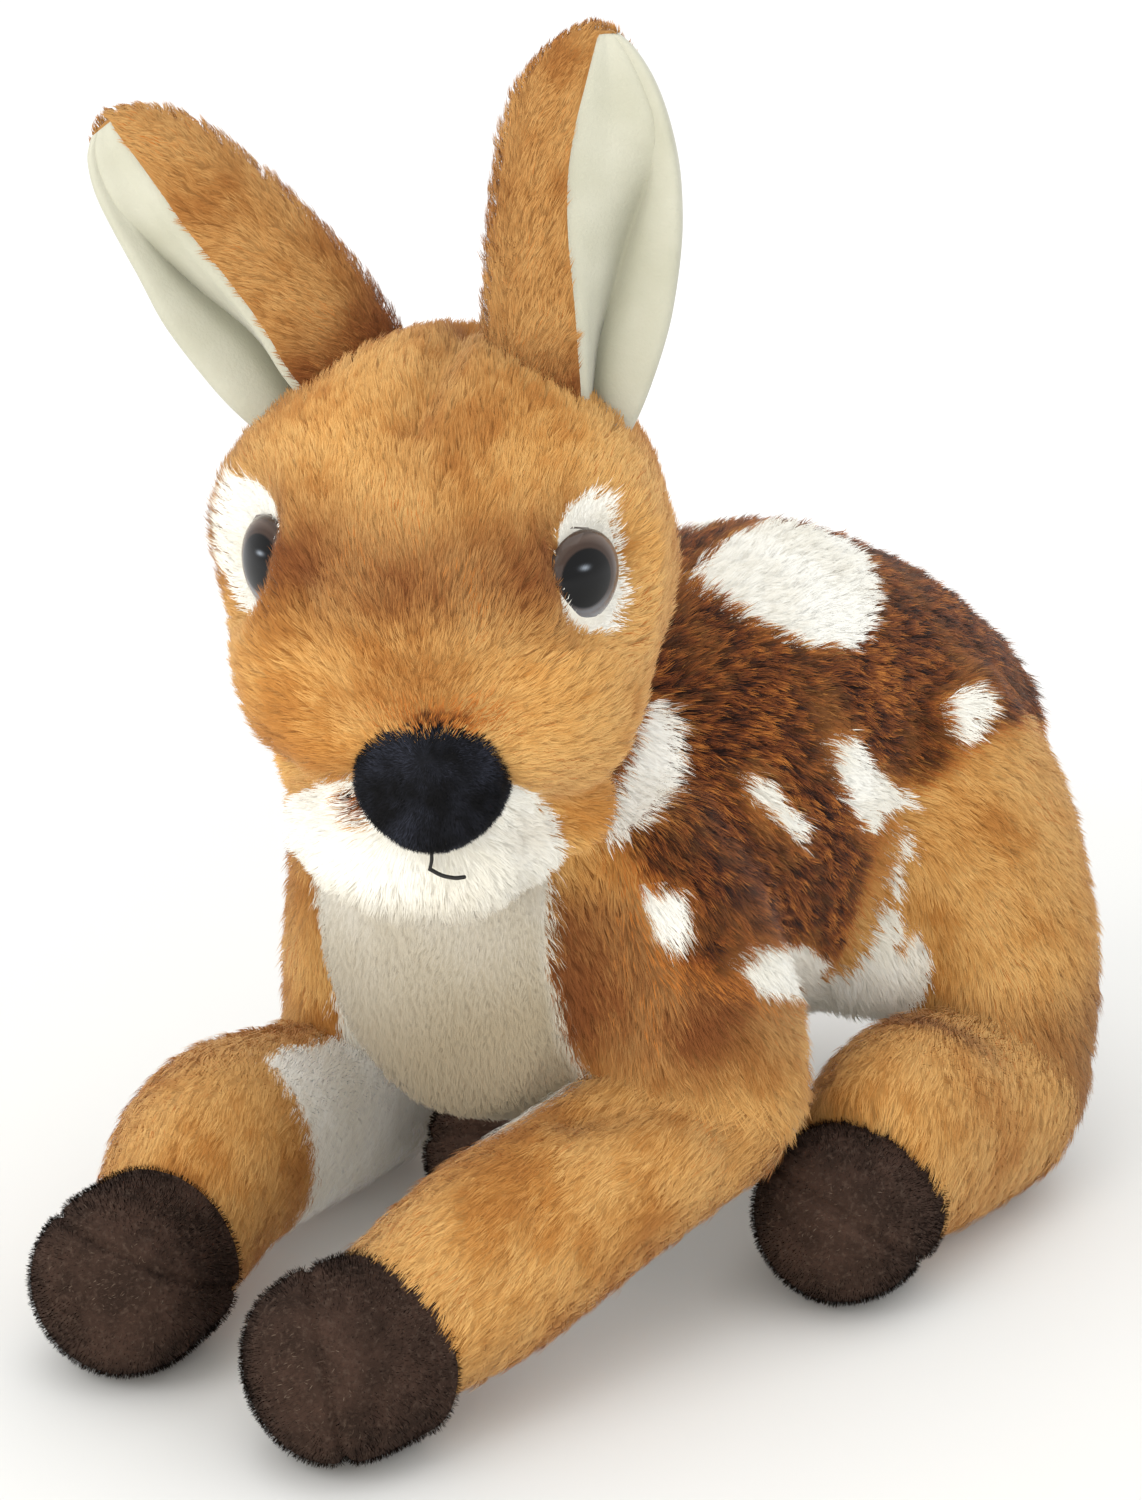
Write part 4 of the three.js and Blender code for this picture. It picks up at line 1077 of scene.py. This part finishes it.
# The cream patch round an eye, as (towards the back of the head, up) from the eye's middle.
EYE_PATCH = [
    (4, 13.2), (8.4, 12), (10.4, 3.3), (10, -5.8), (4.4, -10.6), (-3, -9.6), (-8, -5.6), (-7.6, -1),
    (-6.4, 4.4), (-3.4, 9), (0, 11.4),
]
NOSE_TIP = np.array([35.2, -108.4, 134.6])
ACROSS, AHEAD = np.array([0.866, 0.5, 0.0]), np.array([0.5, -0.866, 0.0])
head = sewn("head_skin", head_parts, 1.6, 8)
# How the face is sculpted: (place, reach, move).
FACE_PUSHES = [
    ((39, -38, 178), 19, (-2.6, -2, 0)), ((-25, -92, 170), 16, (-1.6, -1.2, 0)),
    ((-4, -103, 127), 15, (-4, -3, 0)), ((2, -98, 114), 10, (-2, -1.6, 0)),
    ((20, -110, 150), 14, (-0.6, 1.0, 0)), ((42, -72, 134), 15, (3.6, 2.2, -5)),
    ((46, -88, 117), 10, (-2.4, -1.8, 0)), ((39, -74, 122), 11, (0.8, 0.4, -4.6)),
    ((-12, -90, 126), 9, (-3.2, -2.5, 0)), ((5, -62, 200), 24, (0, 0, 2.2)),
]
# Where the stuffed face is drawn in: (places along the fold, half its width, its depth).
FACE_FOLDS = [
    ([(6.7, -59.3, 200.3), (15.5, -78.6, 198.4), (20.2, -92.8, 191.3)], 3.0, 3.6),
    ([(13.2, -115, 164), (16, -117.6, 157.9), (19.8, -117.5, 150), (21.5, -117.2, 140.4)], 3.6, 2.8),
    ([(52.9, -83.1, 157), (50, -96, 155), (44, -105.8, 152.4)], 3.4, 2.2),
]


def eye_gap(points, normals):
    """How far each point lies outside the nearer eye's rim, seen along that eye's axis."""
    gap = np.full(len(points), np.inf)
    for place, way in EYES.values():
        away = points - np.array(place)
        flat = away - np.outer(away @ unit(way), unit(way))
        beyond = np.linalg.norm(flat, axis=1) - EYE_RADIUS
        gap = np.minimum(gap, np.where(normals @ unit(way) > 0.2, beyond, np.inf))
    return gap


def out_of_eye(points):
    """The way out from the nearer eye's middle."""
    ways = [points - np.array(place) for place, _ in EYES.values()]
    first = np.linalg.norm(ways[0], axis=1) < np.linalg.norm(ways[1], axis=1)
    return unit(np.where(first[:, None], ways[0], ways[1]))


p, n = points_of(head), normals_of(head)
sideways = abs((p - np.array(HEAD[2][:3])) @ ACROSS)
full = 4.6 * smoothstep(sideways, 14, 32) * smoothstep(p[:, 2], 118, 140) * smoothstep(196 - p[:, 2], 0, 24)
move_points(head, p + n * (full * smoothstep(eye_gap(p, n), 0, 7))[:, None])
pushed(head, FACE_PUSHES)
for line, width, depth in FACE_FOLDS:
    creased(head, line, width, depth)
p, n = points_of(head), normals_of(head)
away = p - NOSE_TIP
aside, behind, height = away @ ACROSS, away @ -AHEAD, p[:, 2]
muzzle_top = 132.5 - np.where(aside < 0, 0.45, 0.9) * np.maximum(0, abs(aside) - 13)
muzzle_top -= 0.6 * np.maximum(0, behind - 10) + 1.8 * np.maximum(0, aside - 17)
cream = smoothstep(muzzle_top - height, -1.5, 1.5)
smudge = 0.75 * fading(aside + 12, 5) * fading(height - 126, 5.5)
smudge += 0.6 * fading(aside - 3, 9) * fading(height - 144.5, 3)
smudge *= smoothstep(40 - behind, 0, 10)
eye_away = eye_gap(p, n)
eye_white = np.zeros(len(p))
for side, (place, way) in EYES.items():
    centre, way = np.array(place), unit(way)
    back = unit(np.cross((0, 0, 1), way)) * (1 if side == "left" else -1)
    wide = 1.6 if side == "right" else 1.0
    outline = [centre + back * u * (wide if u > 0 else 1) + np.array([0, 0, v]) for u, v in EYE_PATCH]
    eye_white = np.maximum(eye_white, patch(p, n, outline, 1.2, 16.0))
muzzle_shade = 0.75 * cream * smoothstep(116 - height, 0, 14)
cream = np.maximum(cream, eye_white)
# A darker brown band across the forehead and a darker line along the middle of the snout.
brow = 0.9 * fading(height - 168, 11) * smoothstep(-60 - p[:, 1], 0, 25)
brow = np.maximum(brow, 0.4 * fading(aside, 14) * smoothstep(height, 138, 146))
# Painted shade along each fold of the face.
for line, width, depth in FACE_FOLDS:
    brow = np.maximum(brow, min(1.0, 0.42 * depth) * fading(off_line(p, line), 2.2))
# On cream, only the painted shade under the muzzle.
brow = np.where(cream > 0.3, muzzle_shade, brow)
short = FACE_PILE - 2.4 * fading(np.maximum(eye_away, 0), 3.5)
near_nose = np.linalg.norm((p - NOSE_TIP) / (1, 1, 0.9), axis=1)
short -= 1.6 * fading(near_nose, 17)
combed_out = smoothstep((unit(away) * out_of_eye(p)).sum(1), -0.5, 0.2)
round_eye = (0.8 * combed_out * fading(np.maximum(eye_away, 0), 4))[:, None]
ways = unit(away) * (1 - round_eye) + out_of_eye(p) * round_eye
cream = cream * (1 - np.minimum(smudge, 1))
dressed(head, ways, short, cream=cream, brow=brow, saddle=np.minimum(1.6 * smudge, 1))
write(head, "cover", smoothstep(eye_away, -0.6, 0.4))
placed(head, "head", "fur_tan", PILE, "head", "muzzle", fill=SKIN_FILL)
face = (p - np.array(AIM) / MM) @ np.array([0.5, -0.85, 0.1])
cut = np.median(face)
front_mask = face > cut
SHORT = {"Width": 1.7e-4, "Rise": 0.45, "Lean": 0.9}
grow("face_pile", head, "head", PILE, "fur_tan", 600, 8.0, near(head, front_mask), **SHORT)
grow("head_pile", head, "head", PILE, "fur_tan", 620, 5.0, ~front_mask, **SHORT)

# ---------------------------------------------------------------- nose, eyes and mouth


def thread_material():
    made, graph, shader = new_material("mouth_thread", Roughness=0.7)
    fine = noise(graph, on_object(graph), 1400.0, 2.0)
    dark = (*(0.75 * part for part in THREAD_DYE[:3]), 1)
    graph.join(shader.inputs["Base Color"], graph.blend(fine, dark, THREAD_DYE))
    return made


def velour_material():
    made, graph, shader = new_material("nose_velour", Roughness=0.8, Specular_IOR_Level=0.2)
    tone = read(graph, "tone")
    broad = noise(graph, read(graph, "root", True), 160.0)
    # Painted sheen: lighter bluish patches laid at random on the near-black.
    patchy_wear_and_sheen = graph.times(tone, graph.span(broad, 0.4, 0.65))
    graph.join(shader.inputs["Base Color"], graph.blend(patchy_wear_and_sheen, dye("08080B"), dye("383B48")))
    return made


VELOUR = velour_material()
nose = sewn("nose_pad", [loft(NOSE, (0.5, 0.45), pinch=0.12)], 0.9, 8, 0.6)
p, n = points_of(nose), normals_of(nose)
dressed(nose, p - np.array(NOSE[1][:3]) + np.array([0, 0, -4]), NOSE_NAP)
placed(nose, "head", "velour", VELOUR, "nose", fill=HARD_FILL)
grow("nose_pile", nose, "head", VELOUR, "velour", 640, 14.0, **{**NAP, "Stray": 0.35})


def eye_mesh(place, way, radius):
    """A shallow polished dome, with its rim sunk in the pile."""
    way = unit(way)
    flat = unit(np.cross((0, 0, 1), way))
    tall = np.cross(way, flat)
    sides, rows = 96, 34
    points = []
    for i in range(rows):
        a = math.pi / 2 * i / (rows - 0.999)
        for j in range(sides):
            turn = 2 * math.pi * j / sides
            out = radius * math.cos(a)
            rise = 0.5 * radius * math.sin(a)
            spoke = flat * out * math.cos(turn) + tall * out * math.sin(turn)
            points.append(np.array(place) + spoke + way * rise)
    faces = [
        (i * sides + j, i * sides + (j + 1) % sides, (i + 1) * sides + (j + 1) % sides, (i + 1) * sides + j)
        for i in range(rows - 1) for j in range(sides)
    ]
    faces.append(tuple(range((rows - 1) * sides, rows * sides)))
    faces.append(tuple(range(sides))[::-1])
    return np.array(points), faces


def eye_material():
    made, graph, shader = new_material("eye_gloss", Roughness=0.05, Specular_IOR_Level=0.25)
    out, pupil, low = read(graph, "out"), read(graph, "pupil"), read(graph, "low")
    ring = graph.blend(graph.span(pupil, 0.6, 0.64), dye("020203"), dye("3C2E27"))
    ring = graph.blend(graph.span(pupil, 0.7, 1.0), ring, dye("76675E"))
    # Painted reflection of the pale floor on the lower half of the eye.
    ring = graph.blend(graph.times(low, graph.span(pupil, 0.58, 0.68)), ring, dye("8B939B"))
    # A painted highlight.
    ring = graph.blend(read(graph, "glint"), ring, dye("8A929C"))
    ring = graph.blend(graph.span(out, 0.9, 0.95), ring, dye("463A33"))
    graph.join(shader.inputs["Base Color"], ring)
    return made


def thread_line(name, node, line, radius):
    """A sewn thread through a few places."""
    path = through(np.array(line, float), np.linspace(0, 1, 13))
    rows = [(*p, radius, radius) for p in path]
    made = mesh_object(name, *loft(rows, (0.8, 0.8), (0.3, 0.5, 0.8), 10, 24))
    placed(made, "head", "thread", THREAD, node)


THREAD_DYE = dye("141210")
THREAD = thread_material()
thread_line(
    "mouth_thread_upright", "mouth_stitch_upright",
    [(36.4, -107.6, 120.2), (36.6, -107.8, 118.4), (36.3, -108, 116.6)], 0.34,
)
thread_line(
    "mouth_thread_smile", "mouth_stitch_bar",
    [(36.4, -108, 116.7), (38.4, -107.2, 115.8), (40.4, -106, 115.4), (41.8, -105, 115.6)], 0.38,
)

EYE_GLOSS = eye_material()
for side, (place, way) in EYES.items():
    points, faces = eye_mesh(place, way, EYE_RADIUS)
    eye = mesh_object(f"eye_{side}", points, faces)
    middle = np.array(place)
    flat = points - middle - np.outer((points - middle) @ unit(way), unit(way))
    forwards = unit(AHEAD - unit(way) * (AHEAD @ unit(way)))
    write(eye, "out", np.linalg.norm(flat, axis=1) / EYE_RADIUS)
    write(eye, "pupil", np.linalg.norm(flat / EYE_RADIUS - forwards * 0.2 - np.array([0, 0, 0.1]), axis=1))
    # A small painted highlight high on the eye.
    glint = flat / EYE_RADIUS - forwards * 0.3 - np.array([0, 0, 0.36])
    write(eye, "glint", fading(glint @ forwards, 0.1) * fading(glint[:, 2], 0.04))
    # Painted reflection of the pale floor, stronger towards the bottom of the eye.
    write(eye, "low", 0.75 * smoothstep(-flat[:, 2] / EYE_RADIUS, 0.1, 0.9))
    placed(eye, "head", "eye_clear", EYE_GLOSS, f"eye_{side}_dome")

# ---------------------------------------------------------------- ears

# Each ear in its own frame: along the leaf, across it towards the cup's outer edge, and out of the cup.
# A row is (along, fur edge, seam, fold, outer edge, depth of the cup), in millimetres.
EAR_FRAMES = {
    "left": ((23.2, -55.1, 190.0), (0.009, -0.011, 1.0), (0.788, 0.616, 0.0)),
    "right": ((-18.7, -72.9, 186.1), (-0.543, -0.311, 0.780), (-0.480, -0.648, -0.592)),
}
EAR_ROWS = {
    "left": [
        (-8.6, -7, 3, 7, 12, 5), (0, -9.5, 4.8, 6.6, 15.5, 7), (10.7, -11.6, 4.3, 7.8, 18.8, 8.5),
        (19.3, -11.4, 3.7, 10.1, 20.6, 8.5), (31, -10.8, 2.6, 13.2, 21.8, 8),
        (41.8, -9.6, 2.5, 16.4, 21.4, 7), (51, -7.8, 3.8, 16.4, 19.6, 6), (58.4, -5, 5.6, 14, 17, 4.5),
        (64, -0.6, 7, 11.4, 13.6, 3), (67, 3.6, 7.8, 9.6, 10.4, 1.4),
    ],
    "right": [
        (-8.2, -14, -1, 3, 8, 5), (0, -18.5, 1, 2.5, 11, 7), (8.2, -19.6, 1.3, 1.9, 12.6, 8.5),
        (17.3, -19.8, 0, 1.8, 13, 8.5), (28.5, -19, -0.5, 4.2, 12.6, 8), (38.2, -17.2, -0.4, 5.7, 10.8, 7),
        (47.2, -15.4, -1, 5.8, 9.2, 6), (54.8, -12.6, -1.5, 4.8, 7.4, 4.5), (60.4, -9, -1.8, 2.6, 4.6, 3),
        (63.4, -5, -2.4, -0.4, 1, 1.4),
    ],
}
# The leaf's closed section as (which edge, which next edge, share between them, share of the depth).
EAR_FRONT = [
    (0, 1, 0.0, 0.0), (0, 1, 0.12, 0.5), (0, 1, 0.45, 0.92), (1, 2, 0.0, 1.0), (1, 2, 0.5, 0.6),
    (2, 3, 0.0, 0.02), (2, 3, 0.4, 0.42), (2, 3, 1.0, 0.6),
]
EAR_BACK = [(2, 3, 0.92, -0.05), (1, 3, 0.5, -0.5), (0, 1, 0.8, -0.85), (0, 1, 0.35, -0.7)]
EAR_FOLD, LINED = 5, (2.9, 8.3)  # the fold's and the lining's places in the section
FOLD_ENDS = (32, 54)  # where the fold fades out along the leaf
FOLD_WIDTHS = (0.55, 1.2)  # how wide its shade is, inwards and outwards
EAR_TURNS, EAR_STEPS = 60, 48


def closed_through(points, count):
    """A smooth closed line through points, in even shares from each point to the next."""
    points = np.asarray(points, float)
    at = np.arange(count) * len(points) / count
    i, t = np.floor(at).astype(int), (at % 1)[:, None]
    return eased(*(points[(i + k) % len(points)] for k in (-1, 0, 1, 2)), t)


def ear_section(row):
    edges, depth = row[1:5], row[5]
    section = [
        (edges[i] + (edges[j] - edges[i]) * share, depth * out) for i, j, share, out in EAR_FRONT + EAR_BACK
    ]
    flatter = float(smoothstep(row[0], *FOLD_ENDS))
    section[EAR_FOLD] = (section[EAR_FOLD][0], section[EAR_FOLD][1] + 0.5 * flatter * depth)
    return section


def ear_place(side, along, across, out):
    """Places of an ear's points in the part's frame."""
    origin, up, sideways = EAR_FRAMES[side]
    up, sideways = unit(up), unit(sideways)
    forwards = unit(np.cross(sideways, up) * (1 if side == "left" else -1))
    return np.array(origin) + np.outer(along, up) + np.outer(across, sideways) + np.outer(out, forwards)


def ear_cloth(side):
    rows = through(np.array(EAR_ROWS[side], float), np.linspace(0, 1, EAR_STEPS + 1))
    rings = []
    for row in rows:
        loop = closed_through(ear_section(row), EAR_TURNS)
        rings.append(ear_place(side, np.full(EAR_TURNS, row[0]), loop[:, 0], loop[:, 1]))
    ends = [rings[0].mean(0), rings[-1].mean(0) + (rings[-1].mean(0) - rings[-2].mean(0)) * 0.4]
    points = np.concatenate([*rings, [ends[0]], [ends[1]]])
    faces = []
    for i in range(EAR_STEPS):
        for j in range(EAR_TURNS):
            a, b = i * EAR_TURNS + j, i * EAR_TURNS + (j + 1) % EAR_TURNS
            faces.append((a, b, b + EAR_TURNS, a + EAR_TURNS))
    first, last, top = len(points) - 2, len(points) - 1, EAR_STEPS * EAR_TURNS
    for j in range(EAR_TURNS):
        k = (j + 1) % EAR_TURNS
        faces += [(first, k, j), (last, top + j, top + k)]
    return points, faces


def ear_lining(side, thick=1.0, proud=0.9):
    """The fleece sheet from the seam round the outer edge, standing a little proud of the cloth."""
    rows = through(np.array(EAR_ROWS[side], float), np.linspace(0, 0.985, EAR_STEPS + 1))
    wide = 41
    fine = 40 * len(EAR_FRONT + EAR_BACK)
    at = np.linspace(*LINED, wide)
    fade = (np.sin(np.linspace(0, np.pi, wide)) ** 0.6)[:, None]
    fronts, backs, shades = [], [], []
    for row in rows:
        loop = closed_through(ear_section(row), fine)
        ahead = unit(np.roll(loop, -1, 0) - np.roll(loop, 1, 0))
        here = np.round(at * 40).astype(int) % fine
        line, out = loop[here], np.stack([-ahead[here, 1], ahead[here, 0]], 1)
        front, back = line + out * (proud * fade - 0.1), line - out * (thick * fade + 0.1)
        fronts.append(ear_place(side, np.full(wide, row[0]), *front.T))
        backs.append(ear_place(side, np.full(wide, row[0]), *back.T))
        # Painted shade on both sides of the fold, fading out towards the tip.
        shade = fading(at - EAR_FOLD, np.where(at < EAR_FOLD, *FOLD_WIDTHS))
        shades.append(shade * (1 - smoothstep(row[0], *FOLD_ENDS)))
    points = np.concatenate([*fronts, *backs])
    count = len(rows) * wide
    faces = []
    for r in range(EAR_STEPS):
        for c in range(wide - 1):
            a = r * wide + c
            b = a + wide
            faces += [(a, a + 1, b + 1, b), (count + a, count + b, count + b + 1, count + a + 1)]
        a, b = r * wide, r * wide + wide - 1
        faces += [(a, a + wide, count + a + wide, count + a), (b, count + b, count + b + wide, b + wide)]
    for c in range(wide - 1):
        top = EAR_STEPS * wide + c
        faces += [(c, count + c, count + c + 1, c + 1), (top, top + 1, count + top + 1, count + top)]
    return points, faces, np.tile(np.concatenate(shades), 2)


def closed_out(obj):
    shape = bmesh.new()
    shape.from_mesh(obj.data)
    bmesh.ops.recalc_face_normals(shape, faces=shape.faces)
    shape.to_mesh(obj.data)
    shape.free()


def fleece_material():
    made, graph, shader = new_material("ear_fleece", Roughness=0.9, Sheen_Weight=0.3)
    place = on_object(graph)
    fine = noise(graph, place, 1500.0, 3.0)
    broad = noise(graph, place, 90.0, 2.0)
    colour = graph.blend(graph.span(broad, 0.3, 0.7), dye("B4B3A0"), dye("BEBDAC"))
    # Painted shade beside the ear's fold.
    shade = graph.times(read(graph, "fold"), 0.6)
    graph.join(shader.inputs["Base Color"], graph.blend(shade, colour, dye("7E7D68")))
    bumped(graph, shader, fine, 0.35, 0.0004)
    return made


FLEECE = fleece_material()
for number, side in enumerate(EAR_ROWS):
    shell = mesh_object(f"ear_{side}_cloth", *ear_cloth(side))
    closed_out(shell)
    p, n = points_of(shell), normals_of(shell)
    _, up, sideways = EAR_FRAMES[side]
    turn = np.arange(len(p)) % EAR_TURNS
    steps = EAR_TURNS / len(EAR_FRONT + EAR_BACK)
    lined = (turn > LINED[0] * steps) & (turn < LINED[1] * steps)
    lined &= np.arange(len(p)) < EAR_STEPS * EAR_TURNS
    along = (p - np.array(EAR_FRAMES[side][0])) @ unit(up)
    over = np.where((turn > 1.2 * steps) & (turn < LINED[0] * steps), 0.5, 0.0)
    ways = np.tile(unit(up), (len(p), 1)) + np.outer(over, unit(sideways))
    length = EAR_PILE - 1.8 * smoothstep(along, 46, 64)
    # Darker brown over the whole ear, more so towards its base.
    dressed(shell, ways, length, brow=0.5 + 0.4 * smoothstep(16 - along, 0, 14))
    placed(shell, f"ear_{side}", "fur_tan", PILE, f"ear_{side}_shell", fill=LEAF_FILL)
    grow(f"ear_{side}_pile", shell, f"ear_{side}", PILE, "fur_tan", 700 + 20 * number, 9.0, ~lined, **SHORT)
    points, faces, fold = ear_lining(side)
    lining = mesh_object(f"ear_{side}_fleece", points, faces)
    write(lining, "fold", fold)
    closed_out(lining)
    placed(lining, f"ear_{side}", "fleece", FLEECE, f"ear_{side}_lining", fill=LEAF_FILL)

# ---------------------------------------------------------------- studio


FLOOR_HALF = 3.0  # in metres


def floor_plane():
    mesh = bpy.data.meshes.new("floor")
    corners = [(-1, -1), (1, -1), (1, 1), (-1, 1)]
    mesh.from_pydata([(x * FLOOR_HALF, y * FLOOR_HALF, 0) for x, y in corners], [], [(0, 1, 2, 3)])
    floor = linked("floor", mesh)
    made, graph, shader = new_material("floor_paper", Roughness=0.9)
    # Painted shade: the paper is greyer within 0.25 m of the middle of the floor and white from 0.7 m out.
    away = graph.vector("LENGTH", on_object(graph))
    paper_and_painted_shade = graph.blend(graph.span(away, 0.25, 0.7), (0.8, 0.8, 0.78, 1), (1, 1, 1, 1))
    graph.join(shader.inputs["Base Color"], paper_and_painted_shade)
    mesh.materials.append(made)


def soft_light(name, place, size, power, colour=(1, 1, 1)):
    data = bpy.data.lights.new(name, "AREA")
    data.shape, data.size, data.energy, data.color = "SQUARE", size, power, colour
    made = linked(name, data)
    made.location = Vector(place)
    made.rotation_euler = (Vector(place) - AIM).to_track_quat("Z", "Y").to_euler()


floor_plane()
soft_light("key", (-0.2, -1.2, 1.0), 0.9, 4)
soft_light("front", (0.8, -1.1, 0.3), 0.9, 2.5)
soft_light("fill", (0.25, -1.2, 0.22), 0.5, 4, (1, 0.92, 0.78))
soft_light("top", (0.1, 0.1, 1.4), 1.2, 5)
world = bpy.data.worlds.new("studio")
bpy.context.scene.world = world
world.use_nodes = True
world.node_tree.nodes["Background"].inputs[0].default_value = (1, 1, 1, 1)
world.node_tree.nodes["Background"].inputs[1].default_value = 1.0
bpy.context.scene.view_settings.view_transform = "Standard"

bpy.data.objects.remove(STRAND)
